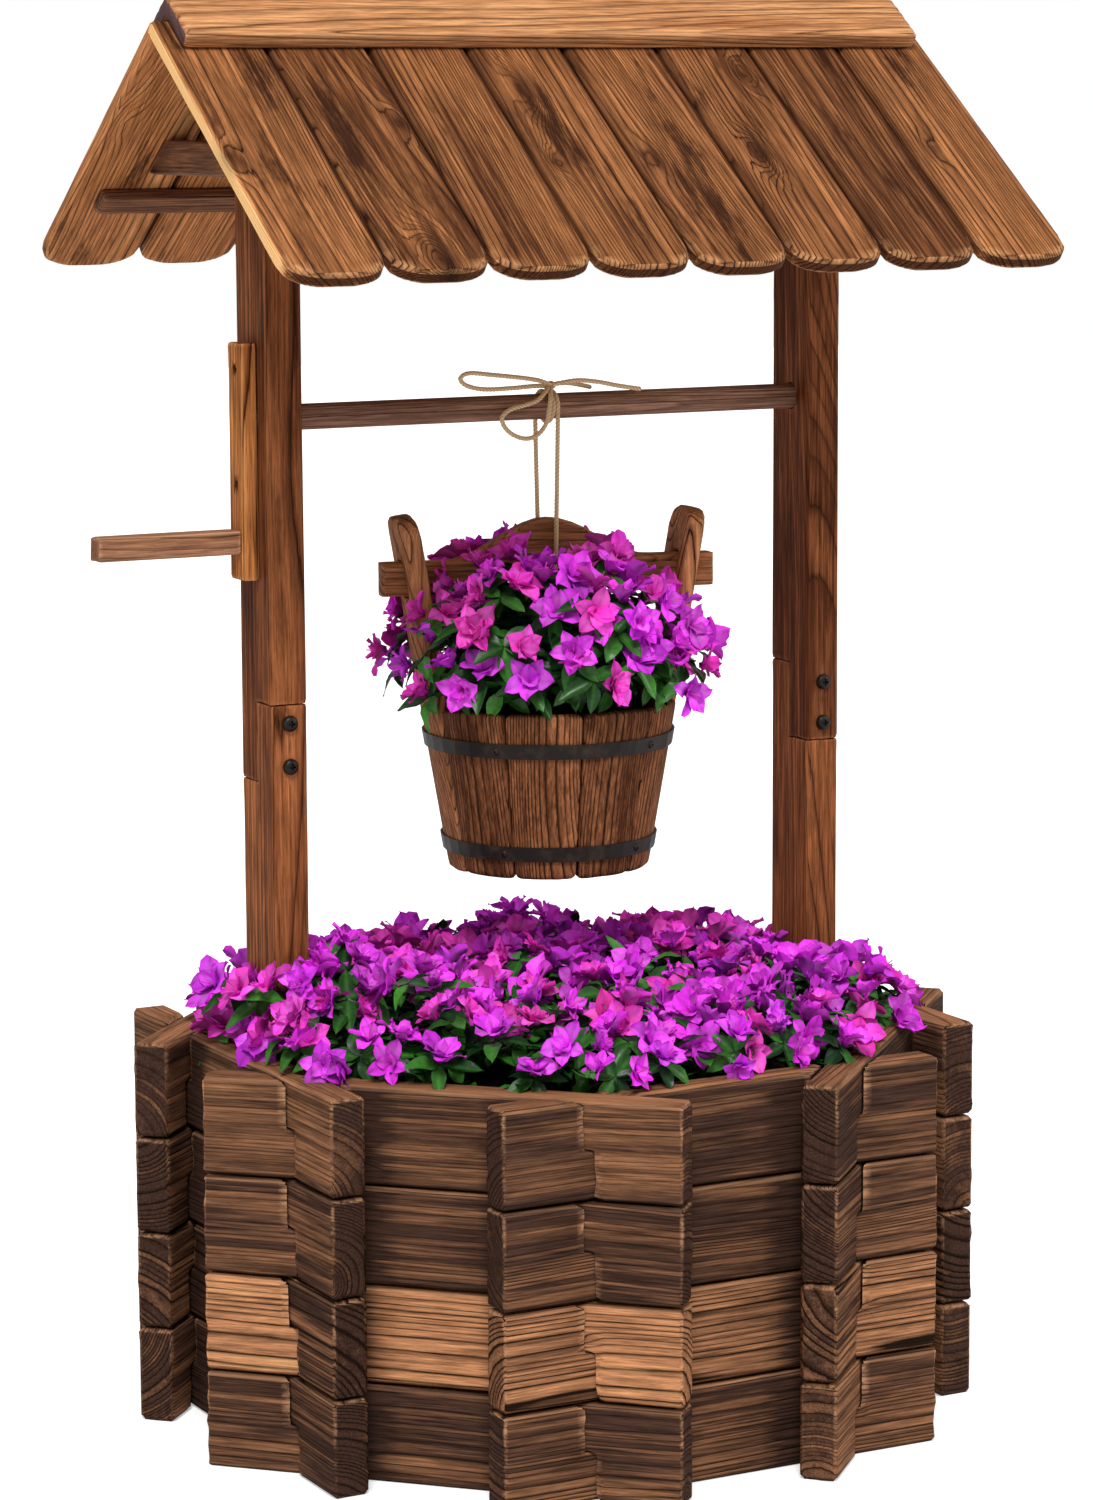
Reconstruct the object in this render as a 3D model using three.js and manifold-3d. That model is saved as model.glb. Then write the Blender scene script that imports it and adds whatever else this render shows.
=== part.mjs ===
// Wishing well planter: an octagonal log-cabin planter, two spliced posts, a crank and roller,
// a gabled roof of scalloped boards and a coopered bucket that hangs on twine.
// Millimetres, +Z up. X runs along the roller with the crank at -X, and -Y is the front.
// The origin is the middle of the whole object's footprint, on the ground.
import * as THREE from "three";
import { mergeVertices } from "three/addons/utils/BufferGeometryUtils.js";
import Module from "manifold-3d";

// Shared clearances
const seat_gap = 0.3;
const cut_overrun = 5;

// Planter base
const course_count = 4;
const side_count = 8;
const course_height = 76;
const wall_thickness = 29;
const wall_apothem = 280;
const tail_length = 71;
const notch_gap = 2;
const board_chamfer = 2.5;

// Posts and their half-lap splice
const post_thickness = 30;
const post_width = 56;
const post_chamfer = 2;
const splice_length = 61;
const splice_middle_height = 540;
const splice_gap = 0.3;

// Splice bolts
const bolt_pitch = 33;
const bolt_radius = 3;
const bolt_hole_radius = 3.4;
const bolt_head_radius = 6.2;
const bolt_head_height = 4.5;
const bolt_head_rim = 2;
const bolt_nut_radius = 5.5;
const bolt_nut_height = 5;
const bolt_segments = 16;

// Roof
const roof_height = 1082;
const roof_pitch_degrees = 36.5;
const roof_length = 658;
const roof_slope_length = 302.5;
const roof_board_count = 8;
const roof_board_thickness = 13;
const scallop_depth = 22;
const scallop_steps = 10;
const roof_groove_width = 2;
const roof_groove_depth = 3.5;
const ridge_length = 632;
const ridge_board_width = 38.5;
const ridge_board_thickness = 14;
const batten_length = 620;
const batten_width = 22.5;
const batten_thickness = 10.5;
const batten_run = 194;
const tie_thickness = 26;
const tie_height = 26.5;
const tie_drop = 116;

// Windlass
const roller_height = 785.6;
const roller_radius = 10;
const roller_hole_gap = 0.6;
const roller_socket_depth = 18;
const roller_segments = 32;
const arm_gap = 0.8;
const arm_thickness = 13;
const arm_width = 26;
const arm_length = 178.5;
const arm_drop = 121;
const arm_chamfer = 1.5;
const arm_socket_depth = 8;
const arm_hole_radius = 2.5;
const arm_hole_pitch = 86.5;
const arm_hole_middle_drop = 5.3;
const arm_hole_segments = 12;
const handle_length = 115;
const handle_section = 18.5;
const handle_chamfer = 2;
const crank_radius = 92;

// Bucket
const bucket_base_height = 424.5;
const bucket_depth = 132;
const bucket_base_radius = 79;
const bucket_rim_radius = 101.5;
const bucket_twist_degrees = -11.7;
const stave_count = 10;
const stave_thickness = 13;
const stave_groove_width = 2.4;
const stave_groove_depth = 1.2;
const stave_facets = 3;
const lug_width = 55;
const lug_thickness = 16;
const lug_height = 282;
const lug_corner_radius = 19;
const lug_corner_steps = 5;
const bottom_thickness = 12;
const bottom_inset = 8;
const bottom_segments = 40;
const hoop_width = 11.5;
const hoop_thickness = 1.6;
const hoop_upper_rise = 103;
const hoop_lower_rise = 21;
const hoop_segments = 40;

// Yoke through the lugs
const yoke_length = 270;
const yoke_thickness = 17;
const yoke_end_height = 26.5;
const yoke_underside_rise = 217;
const yoke_hump_height = 31;
const yoke_hump_length = 166;
const yoke_arch_height = 11.5;
const yoke_arch_length = 189;
const yoke_steps = 28;
const yoke_edge_radius = 3;
const yoke_edge_segments = 2;
const yoke_slot_gap = 1;

// Twine
const twine_radius = 1.6;
const twine_sides = 8;
const twine_step = 6;
const twine_bend_steps = 3;
const twine_wrap_steps = 6;
const strand_front_offset = 3.8;
const strand_back_offset = -3.8;
const knot_radius = 4;
const knot_stretch_share = 1.45;
const knot_segments = 10;
const knot_rings = 6;
const bow_turn_segments = 24;
// How far round the roller the sling's two ends stop from its top, as shares of a turn
const sling_end_share = 0.02;

// The bow's routes, each from the knot and in the well's own frame, as they lie
const knot_place = [0, -5.3, 801.5];
const long_loop_route = [
  [0, -5.7, 802.6], [-11.3, -7.6, 806.4], [-28.3, -8.5, 809.2], [-52, -9, 812.1], [-71.8, -9, 814],
  [-79.4, -9, 810.2], [-73.7, -9, 804.5], [-58.6, -9, 801.2], [-35.9, -8.5, 801.2], [-15.1, -7.6, 802.1],
  [-0.9, -5.7, 801.7],
];
const round_loop_route = [
  [-0.9, -6.1, 801.7], [-8.5, -13.2, 796.9], [-17, -16.1, 791.3], [-27.4, -16.5, 788.4], [-39.7, -16.5, 785.6],
  [-47.2, -16.5, 779.9], [-45.4, -16.5, 772.4], [-37.8, -16.5, 765.8], [-26.5, -16.5, 762.4],
  [-16.1, -16.5, 765.3], [-8.5, -16.5, 774.3], [-6.1, -16.5, 784.7], [-3.8, -14.2, 794.1], [0, -6.6, 801.7],
];
const long_tail_route = [
  [0, -5.7, 802.1], [9.4, -8.5, 804], [22.7, -10.4, 805.4], [39.7, -11.8, 803.6], [56.7, -12.3, 800.2],
  [76.5, -12.8, 796.9],
];
const short_tail_route = [
  [0, -5.2, 802.1], [8.5, -3.8, 803.1], [20.8, 0.9, 802.6], [32.1, 5.2, 800.7], [43.5, 8.5, 798.4],
];

// Places worked out from the sizes
const roof_pitch = THREE.MathUtils.degToRad(roof_pitch_degrees);
const side_turn = (2 * Math.PI) / side_count;
const side_length = 2 * wall_apothem * Math.tan(side_turn / 2);
const post_outer = wall_apothem - wall_thickness - seat_gap;
const post_middle = post_outer - post_thickness / 2;
const post_inner = post_outer - post_thickness;
const splice_low = splice_middle_height - splice_length / 2;
const splice_high = splice_middle_height + splice_length / 2;
const roof_underside_apex = roof_height - roof_board_thickness / Math.cos(roof_pitch);
const post_height = roof_underside_apex - (post_width / 2) * Math.tan(roof_pitch)
  - seat_gap / Math.cos(roof_pitch);
const tie_underside_height = roof_height - tie_drop;
const arm_inner = post_outer + arm_gap;
const arm_outer = arm_inner + arm_thickness;
const handle_reach = arm_outer + seat_gap + handle_length;
const taper = (bucket_rim_radius - bucket_base_radius) / bucket_depth;
const yoke_low = bucket_base_height + yoke_underside_rise;
const yoke_high = yoke_low + yoke_end_height;
const footprint_shift = (handle_reach - roof_length / 2) / 2;

// Materials
const fir = new THREE.MeshStandardMaterial({ color: 0x6b3f24, roughness: 0.8, metalness: 0 });
const roof_fir = new THREE.MeshStandardMaterial({ color: 0x7a4a28, roughness: 0.75, metalness: 0 });
const light_fir = new THREE.MeshStandardMaterial({ color: 0xa8703f, roughness: 0.75, metalness: 0 });
const black_steel = new THREE.MeshStandardMaterial({ color: 0x17161a, roughness: 0.45, metalness: 0.7 });
const jute = new THREE.MeshStandardMaterial({ color: 0xb08a5c, roughness: 0.95, metalness: 0 });

// Boolean solids
const wasm = await Module();
wasm.setup();

function solid(geometry) {
  const bare = geometry.clone();
  bare.deleteAttribute("normal");
  bare.deleteAttribute("uv");
  const merged = mergeVertices(bare);
  return new wasm.Manifold(new wasm.Mesh({
    numProp: 3,
    vertProperties: new Float32Array(merged.attributes.position.array),
    triVerts: new Uint32Array(merged.index.array),
  }));
}

function geometry_of(body) {
  const found = body.getMesh();
  const geometry = new THREE.BufferGeometry();
  geometry.setAttribute("position", new THREE.BufferAttribute(new Float32Array(found.vertProperties), 3));
  geometry.setIndex(new THREE.BufferAttribute(new Uint32Array(found.triVerts), 1));
  geometry.computeVertexNormals();
  return geometry;
}

function piece(name, geometry, material) {
  const mesh = new THREE.Mesh(geometry, material);
  mesh.name = name;
  return mesh;
}

// A box between two corners
function block(low, high) {
  const size = low.map((value, i) => high[i] - value);
  const middle = low.map((value, i) => (high[i] + value) / 2);
  return new THREE.BoxGeometry(...size).translate(...middle);
}

// A rectangle about the middle with its four corners cut off
function chamfered_rectangle(width, height, chamfer) {
  const x = width / 2;
  const y = height / 2;
  return new THREE.Shape([
    new THREE.Vector2(x - chamfer, -y),
    new THREE.Vector2(x, -y + chamfer),
    new THREE.Vector2(x, y - chamfer),
    new THREE.Vector2(x - chamfer, y),
    new THREE.Vector2(-x + chamfer, y),
    new THREE.Vector2(-x, y - chamfer),
    new THREE.Vector2(-x, -y + chamfer),
    new THREE.Vector2(-x + chamfer, -y),
  ]);
}

// An outline extruded along Z about the middle of its length
function extruded(shape, length) {
  return new THREE.ExtrudeGeometry(shape, { depth: length, bevelEnabled: false })
    .translate(0, 0, -length / 2);
}

// Turns a solid drawn in X and Y and extruded along Z to lie in Y and Z along X
const along_x = new THREE.Matrix4().makeBasis(
  new THREE.Vector3(0, 1, 0),
  new THREE.Vector3(0, 0, 1),
  new THREE.Vector3(1, 0, 0),
);

function beam_along_x(length, width, height, chamfer) {
  return extruded(chamfered_rectangle(width, height, chamfer), length).applyMatrix4(along_x);
}

function cylinder_along_x(radius, from, to, segments) {
  return new THREE.CylinderGeometry(radius, radius, to - from, segments)
    .rotateZ(Math.PI / 2)
    .translate((from + to) / 2, 0, 0);
}

function cylinder_along_y(radius, length, segments) {
  return new THREE.CylinderGeometry(radius, radius, length, segments);
}

// Planter base: each board is half-lapped into its two neighbours, and its tails cross them.
// Each course is laid from the front board, notched above at both ends, to the back board,
// notched below at both ends.
function neighbour_notch(direction, is_over) {
  const reach = side_length / 2 + tail_length + cut_overrun;
  const outer = wall_apothem + notch_gap;
  const inner = wall_apothem - wall_thickness - notch_gap;
  const bottom = is_over ? -cut_overrun : course_height / 2;
  const top = is_over ? course_height / 2 : course_height + cut_overrun;
  return block([-reach, -outer, bottom], [reach, -inner, top]).rotateZ(direction * side_turn);
}

function wall_board(side) {
  const half_way = side_count / 2;
  const over_at_left = side >= 1 && side <= half_way;
  const over_at_right = side >= half_way;
  const length = side_length + 2 * tail_length;
  const blank = beam_along_x(length, wall_thickness, course_height, board_chamfer)
    .translate(0, -(wall_apothem - wall_thickness / 2), course_height / 2);
  return geometry_of(solid(blank)
    .subtract(solid(neighbour_notch(-1, over_at_left)))
    .subtract(solid(neighbour_notch(1, over_at_right))));
}

function planter_base() {
  const side_names = [
    "front", "front_right", "right", "back_right", "back", "back_left", "left", "front_left",
  ];
  const group = new THREE.Group();
  side_names.forEach((side_name, side) => {
    const geometry = wall_board(side);
    for (let course = 0; course < course_count; course += 1) {
      const board = piece(`course_${course + 1}_${side_name}_board`, geometry, fir);
      board.rotation.z = side * side_turn;
      board.position.z = course * course_height;
      group.add(board);
    }
  });
  return group;
}

// Posts: a lower and an upper length, each cut to half its width in the splice
function post_blank(bottom, top) {
  return extruded(chamfered_rectangle(post_thickness, post_width, post_chamfer), top - bottom)
    .translate(0, 0, (bottom + top) / 2);
}

// The half of the post's width that a tongue gives up, in front (-1) or behind (1)
function tongue_cut(face, bottom, top) {
  const x = post_thickness / 2 + cut_overrun;
  const near = -face * splice_gap / 2;
  const far = face * (post_width / 2 + cut_overrun);
  return block([-x, Math.min(near, far), bottom], [x, Math.max(near, far), top]);
}

function splice_holes() {
  const hole = solid(cylinder_along_y(bolt_hole_radius, post_width + cut_overrun, bolt_segments));
  return hole.translate([0, 0, splice_middle_height - bolt_pitch / 2])
    .add(hole.translate([0, 0, splice_middle_height + bolt_pitch / 2]));
}

function lower_post(tongue_face) {
  return solid(post_blank(0, splice_high))
    .subtract(solid(tongue_cut(-tongue_face, splice_low, splice_high + cut_overrun)))
    .subtract(splice_holes());
}

function upper_post(tongue_face) {
  const shoulder = splice_high + seat_gap;
  return solid(post_blank(splice_low + seat_gap, post_height))
    .subtract(solid(tongue_cut(-tongue_face, splice_low, shoulder)))
    .subtract(splice_holes());
}

// The roller's hole, from the inner face of a post at the given side to the given depth
function roller_hole(side, depth) {
  const from = -side * (post_thickness / 2 + cut_overrun);
  const to = side * (depth - post_thickness / 2);
  return cylinder_along_x(
    roller_radius + roller_hole_gap,
    Math.min(from, to),
    Math.max(from, to),
    roller_segments,
  ).translate(0, 0, roller_height);
}

function splice_bolt() {
  const head = -(post_width / 2 + seat_gap);
  const nut = post_width / 2 + seat_gap;
  const profile = [
    new THREE.Vector2(0, head - bolt_head_height),
    new THREE.Vector2((bolt_radius + bolt_head_radius) / 2, head - (bolt_head_height + bolt_head_rim) / 2),
    new THREE.Vector2(bolt_head_radius, head - bolt_head_rim),
    new THREE.Vector2(bolt_head_radius, head),
    new THREE.Vector2(bolt_radius, head),
    new THREE.Vector2(bolt_radius, nut),
    new THREE.Vector2(bolt_nut_radius, nut),
    new THREE.Vector2(bolt_nut_radius, nut + bolt_nut_height),
    new THREE.Vector2(0, nut + bolt_nut_height),
  ];
  return new THREE.LatheGeometry(profile, bolt_segments);
}

function posts() {
  const group = new THREE.Group();
  const sides = [
    { name: "left", side: -1, lower_tongue: -1, hole_depth: post_thickness + cut_overrun },
    { name: "right", side: 1, lower_tongue: 1, hole_depth: roller_socket_depth },
  ];
  for (const { name, side, lower_tongue, hole_depth } of sides) {
    const upper = upper_post(-lower_tongue).subtract(solid(roller_hole(side, hole_depth)));
    const parts = [
      piece(`${name}_lower_post`, geometry_of(lower_post(lower_tongue)), fir),
      piece(`${name}_upper_post`, geometry_of(upper), fir),
      piece(`${name}_upper_splice_bolt`, splice_bolt(), black_steel),
      piece(`${name}_lower_splice_bolt`, splice_bolt(), black_steel),
    ];
    parts[2].position.z = splice_middle_height + bolt_pitch / 2;
    parts[3].position.z = splice_middle_height - bolt_pitch / 2;
    for (const part of parts) {
      part.position.x = side * post_middle;
      group.add(part);
    }
  }
  return group;
}

// Roof: one slope's boards, drawn with X along the ridge and Y down the slope
function slope_outline() {
  const board_width = roof_length / roof_board_count;
  const valley = roof_slope_length - scallop_depth;
  const points = [new THREE.Vector2(roof_length / 2, 0)];
  for (let board = 0; board < roof_board_count; board += 1) {
    const middle = roof_length / 2 - (board + 0.5) * board_width;
    for (let step = board === 0 ? 0 : 1; step <= scallop_steps; step += 1) {
      const angle = (Math.PI * step) / scallop_steps;
      const reach = Math.max(0, Math.sin(angle));
      points.push(new THREE.Vector2(
        middle + (Math.cos(angle) * board_width) / 2,
        valley + scallop_depth * reach,
      ));
    }
  }
  points.push(new THREE.Vector2(-roof_length / 2, 0));
  return new THREE.Shape(points);
}

function slope_grooves() {
  const board_width = roof_length / roof_board_count;
  const x = roof_groove_width / 2;
  let grooves = null;
  for (let board = 1; board < roof_board_count; board += 1) {
    const middle = -roof_length / 2 + board * board_width;
    for (const face of [0, -roof_board_thickness]) {
      const groove = solid(block(
        [middle - x, -cut_overrun, face - roof_groove_depth],
        [middle + x, roof_slope_length + cut_overrun, face + roof_groove_depth],
      ));
      grooves = grooves ? grooves.add(groove) : groove;
    }
  }
  return grooves;
}

function roof_slope() {
  const boards = new THREE.ExtrudeGeometry(slope_outline(), {
    depth: roof_board_thickness,
    bevelEnabled: false,
  }).translate(0, 0, -roof_board_thickness);
  const down = new THREE.Vector3(0, -Math.cos(roof_pitch), -Math.sin(roof_pitch));
  const up = new THREE.Vector3(0, -Math.sin(roof_pitch), Math.cos(roof_pitch));
  const place = new THREE.Matrix4()
    .makeBasis(new THREE.Vector3(-1, 0, 0), down, up)
    .setPosition(0, 0, roof_height);
  const cut_boards = geometry_of(solid(boards).subtract(slope_grooves())).applyMatrix4(place);
  const past = roof_length / 2 + cut_overrun;
  const beyond_ridge = block(
    [-past, -seat_gap / 2, roof_height - roof_slope_length],
    [past, roof_slope_length, roof_height + cut_overrun],
  );
  return geometry_of(solid(cut_boards).subtract(solid(beyond_ridge)));
}

function ridge_cap() {
  const slope_y = ridge_board_width * Math.cos(roof_pitch);
  const slope_z = ridge_board_width * Math.sin(roof_pitch);
  const skin_y = ridge_board_thickness * Math.sin(roof_pitch);
  const skin_z = ridge_board_thickness * Math.cos(roof_pitch);
  const inner = roof_height + seat_gap / Math.cos(roof_pitch);
  const outer = inner + ridge_board_thickness / Math.cos(roof_pitch);
  const outline = new THREE.Shape([
    new THREE.Vector2(0, inner),
    new THREE.Vector2(slope_y, inner - slope_z),
    new THREE.Vector2(slope_y + skin_y, inner - slope_z + skin_z),
    new THREE.Vector2(0, outer),
    new THREE.Vector2(-slope_y - skin_y, inner - slope_z + skin_z),
    new THREE.Vector2(-slope_y, inner - slope_z),
  ]);
  return extruded(outline, ridge_length).applyMatrix4(along_x);
}

function roof_batten() {
  const low = batten_run;
  const high = batten_run + batten_width;
  const face = -(roof_board_thickness + seat_gap);
  return block(
    [-batten_length / 2, low, face - batten_thickness],
    [batten_length / 2, high, face],
  ).applyMatrix4(new THREE.Matrix4()
    .makeBasis(
      new THREE.Vector3(-1, 0, 0),
      new THREE.Vector3(0, -Math.cos(roof_pitch), -Math.sin(roof_pitch)),
      new THREE.Vector3(0, -Math.sin(roof_pitch), Math.cos(roof_pitch)),
    )
    .setPosition(0, 0, roof_height));
}

function gable_tie() {
  const top = tie_underside_height + tie_height;
  const apex = roof_underside_apex - seat_gap / Math.cos(roof_pitch);
  const half_top = (apex - top) / Math.tan(roof_pitch);
  const half_bottom = (apex - tie_underside_height) / Math.tan(roof_pitch);
  const outline = new THREE.Shape([
    new THREE.Vector2(-half_bottom, tie_underside_height),
    new THREE.Vector2(half_bottom, tie_underside_height),
    new THREE.Vector2(half_top, top),
    new THREE.Vector2(-half_top, top),
  ]);
  return extruded(outline, tie_thickness).applyMatrix4(along_x);
}

function roof() {
  const group = new THREE.Group();
  const slope = roof_slope();
  const batten = roof_batten();
  for (const [name, turn] of [["front", 0], ["back", Math.PI]]) {
    const boards = piece(`${name}_roof_boards`, slope, roof_fir);
    const under = piece(`${name}_roof_batten`, batten, fir);
    boards.rotation.z = turn;
    under.rotation.z = turn;
    group.add(boards, under);
  }
  group.add(piece("ridge_boards", ridge_cap(), light_fir));
  for (const [name, side] of [["left", -1], ["right", 1]]) {
    const tie = piece(`${name}_gable_tie`, gable_tie(), fir);
    tie.position.x = side * (post_outer + seat_gap + tie_thickness / 2);
    group.add(tie);
  }
  return group;
}

// Windlass: the roller, the crank arm on its left end and the handle
function roller() {
  const left = -(arm_inner + arm_socket_depth - seat_gap);
  const right = post_inner + roller_socket_depth - seat_gap;
  return cylinder_along_x(roller_radius, left, right, roller_segments)
    .translate(0, 0, roller_height);
}

function crank_arm() {
  const hole_height = roller_height - arm_hole_middle_drop;
  const bottom = roller_height - arm_drop;
  const blank = extruded(chamfered_rectangle(arm_thickness, arm_width, arm_chamfer), arm_length)
    .translate(-(arm_inner + arm_outer) / 2, 0, bottom + arm_length / 2);
  const socket_radius = (roller_radius + seat_gap) / Math.cos(Math.PI / roller_segments);
  const socket = cylinder_along_x(
    socket_radius,
    -(arm_inner + arm_socket_depth),
    -(arm_inner - cut_overrun),
    roller_segments,
  ).translate(0, 0, roller_height);
  const hole = solid(cylinder_along_x(
    arm_hole_radius,
    -(arm_outer + cut_overrun),
    -(arm_inner - cut_overrun),
    arm_hole_segments,
  ));
  return geometry_of(solid(blank)
    .subtract(solid(socket))
    .subtract(hole.translate([0, 0, hole_height - arm_hole_pitch / 2]))
    .subtract(hole.translate([0, 0, hole_height + arm_hole_pitch / 2])));
}

function crank_handle() {
  return beam_along_x(handle_length, handle_section, handle_section, handle_chamfer)
    .translate(-(arm_outer + seat_gap + handle_length / 2), 0, roller_height - crank_radius);
}

function windlass() {
  const group = new THREE.Group();
  group.add(
    piece("roller", roller(), fir),
    piece("crank_arm", crank_arm(), roof_fir),
    piece("crank_handle", crank_handle(), roof_fir),
    piece("twine_bow", twine_bow(), jute),
  );
  return group;
}

// Bucket: its outer radius at a height above its base
function bucket_radius(rise) {
  return bucket_base_radius + taper * rise;
}

// A solid between a lower and an upper ring with the same number of points, each
// ring running anticlockwise as seen from above
function between_rings(low, high) {
  const count = low.length;
  const outline = low.map((point) => new THREE.Vector2(point.x, point.y));
  const cap = THREE.ShapeUtils.triangulateShape(outline, []);
  const indices = [];
  for (let i = 0; i < count; i += 1) {
    const next = (i + 1) % count;
    indices.push(i, next, count + next, i, count + next, count + i);
  }
  for (const [a, b, c] of cap) {
    indices.push(a, c, b, count + a, count + b, count + c);
  }
  const geometry = new THREE.BufferGeometry().setFromPoints([...low, ...high]);
  geometry.setIndex(indices);
  geometry.computeVertexNormals();
  return geometry;
}

// One ring of a run of staves, with a groove at each seam between them
function stave_ring(radius, from_angle, stave_run, height) {
  const stave_turn = (2 * Math.PI) / stave_count;
  const edge_turn = (stave_groove_width / 2) / radius;
  const end_turn = seat_gap / radius;
  const ring = [];
  const at = (r, angle) => new THREE.Vector3(r * Math.cos(angle), r * Math.sin(angle), height);
  for (let stave = 0; stave < stave_run; stave += 1) {
    const first = from_angle + stave * stave_turn + (stave === 0 ? end_turn : edge_turn);
    const last = from_angle + (stave + 1) * stave_turn - (stave === stave_run - 1 ? end_turn : edge_turn);
    for (let facet = 0; facet <= stave_facets; facet += 1) {
      ring.push(at(radius, first + ((last - first) * facet) / stave_facets));
    }
    if (stave < stave_run - 1) {
      ring.push(at(radius - stave_groove_depth, from_angle + (stave + 1) * stave_turn));
    }
  }
  const inner = radius - stave_thickness;
  const inner_steps = stave_run * stave_facets;
  const inner_end_turn = seat_gap / inner;
  const start = from_angle + inner_end_turn;
  const end = from_angle + stave_run * stave_turn - inner_end_turn;
  for (let step = inner_steps; step >= 0; step -= 1) {
    ring.push(at(inner, start + ((end - start) * step) / inner_steps));
  }
  return ring;
}

function staves(from_angle, stave_run) {
  return between_rings(
    stave_ring(bucket_base_radius, from_angle, stave_run, bucket_base_height),
    stave_ring(bucket_rim_radius, from_angle, stave_run, bucket_base_height + bucket_depth),
  );
}

// The cone that the staves' outer faces and the lugs' lie on
function outer_cone() {
  const middle = bucket_base_height + lug_height / 2;
  return new THREE.CylinderGeometry(
    bucket_radius(lug_height),
    bucket_base_radius,
    lug_height,
    hoop_segments,
  ).rotateX(Math.PI / 2).translate(0, 0, middle);
}

// The wedge of the bucket that one stave fills, about +X and a gap short of its neighbours
function stave_wedge() {
  const half_turn = Math.PI / stave_count;
  const reach = 2 * bucket_radius(lug_height);
  const tip = seat_gap / Math.sin(half_turn);
  const outline = new THREE.Shape([
    new THREE.Vector2(tip, 0),
    new THREE.Vector2(reach, -(reach - tip) * Math.tan(half_turn)),
    new THREE.Vector2(reach, (reach - tip) * Math.tan(half_turn)),
  ]);
  return extruded(outline, 2 * lug_height).translate(0, 0, bucket_base_height + lug_height / 2);
}

function lug_outline() {
  const x = lug_width / 2;
  const round_x = x - lug_corner_radius;
  const points = [new THREE.Vector2(-x, -cut_overrun), new THREE.Vector2(x, -cut_overrun)];
  for (const [middle, start] of [[round_x, 0], [-round_x, Math.PI / 2]]) {
    for (let step = 0; step <= lug_corner_steps; step += 1) {
      const angle = start + (Math.PI / 2) * (step / lug_corner_steps);
      points.push(new THREE.Vector2(
        middle + lug_corner_radius * Math.cos(angle),
        lug_height - lug_corner_radius + lug_corner_radius * Math.sin(angle),
      ));
    }
  }
  return new THREE.Shape(points);
}

// A lug stave at +X: a slab that leans with the bucket's taper, cut to its place in the ring
function lug() {
  const lean = Math.atan(taper);
  const slab_thickness = 2 * lug_thickness;
  const outline = extruded(lug_outline(), slab_thickness);
  const place = new THREE.Matrix4()
    .makeBasis(
      new THREE.Vector3(0, 1, 0),
      new THREE.Vector3(Math.sin(lean), 0, Math.cos(lean)),
      new THREE.Vector3(Math.cos(lean), 0, -Math.sin(lean)),
    )
    .setPosition(bucket_base_radius, 0, bucket_base_height);
  const slab = outline.applyMatrix4(place);
  const slot_y = yoke_thickness / 2 + yoke_slot_gap;
  const slot = block(
    [0, -slot_y, yoke_low - 2 * yoke_slot_gap],
    [yoke_length, slot_y, yoke_high + seat_gap],
  );
  return geometry_of(solid(slab)
    .intersect(solid(stave_wedge()))
    .intersect(solid(outer_cone()))
    .subtract(solid(slot)));
}

function bucket_bottom() {
  const low = bottom_inset;
  const high = bottom_inset + bottom_thickness;
  const inner = (rise) => bucket_radius(rise) - Math.max(stave_thickness, lug_thickness) - seat_gap;
  const facet_share = Math.cos(Math.PI / (stave_count * stave_facets));
  return new THREE.CylinderGeometry(
    inner(high) * facet_share,
    inner(low) * facet_share,
    bottom_thickness,
    bottom_segments,
  ).rotateX(Math.PI / 2).translate(0, 0, bucket_base_height + (low + high) / 2);
}

function hoop(rise) {
  const low = rise - hoop_width / 2;
  const high = rise + hoop_width / 2;
  const clear = (at) => (bucket_radius(at) + seat_gap) / Math.cos(Math.PI / hoop_segments);
  const profile = [
    new THREE.Vector2(clear(low), low),
    new THREE.Vector2(clear(low) + hoop_thickness, low),
    new THREE.Vector2(clear(high) + hoop_thickness, high),
    new THREE.Vector2(clear(high), high),
    new THREE.Vector2(clear(low), low),
  ];
  return new THREE.LatheGeometry(profile, hoop_segments)
    .rotateX(Math.PI / 2)
    .translate(0, 0, bucket_base_height);
}

// How far a raised-cosine swell of the given height and length stands at a distance from its middle
function swell(height, length, distance) {
  const inside = Math.abs(distance) < length / 2;
  return inside ? (height / 2) * (1 + Math.cos((2 * Math.PI * distance) / length)) : 0;
}

function yoke() {
  const points = [];
  for (let step = 0; step <= yoke_steps; step += 1) {
    const x = -yoke_length / 2 + (yoke_length * step) / yoke_steps;
    points.push(new THREE.Vector2(x, yoke_low + swell(yoke_arch_height, yoke_arch_length, x)));
  }
  for (let step = yoke_steps; step >= 0; step -= 1) {
    const x = -yoke_length / 2 + (yoke_length * step) / yoke_steps;
    points.push(new THREE.Vector2(x, yoke_high + swell(yoke_hump_height, yoke_hump_length, x)));
  }
  const core = yoke_thickness - 2 * yoke_edge_radius;
  return new THREE.ExtrudeGeometry(new THREE.Shape(points), {
    depth: core,
    bevelThickness: yoke_edge_radius,
    bevelSize: yoke_edge_radius,
    bevelOffset: -yoke_edge_radius,
    bevelSegments: yoke_edge_segments,
  }).translate(0, 0, -core / 2).rotateX(Math.PI / 2);
}

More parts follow.
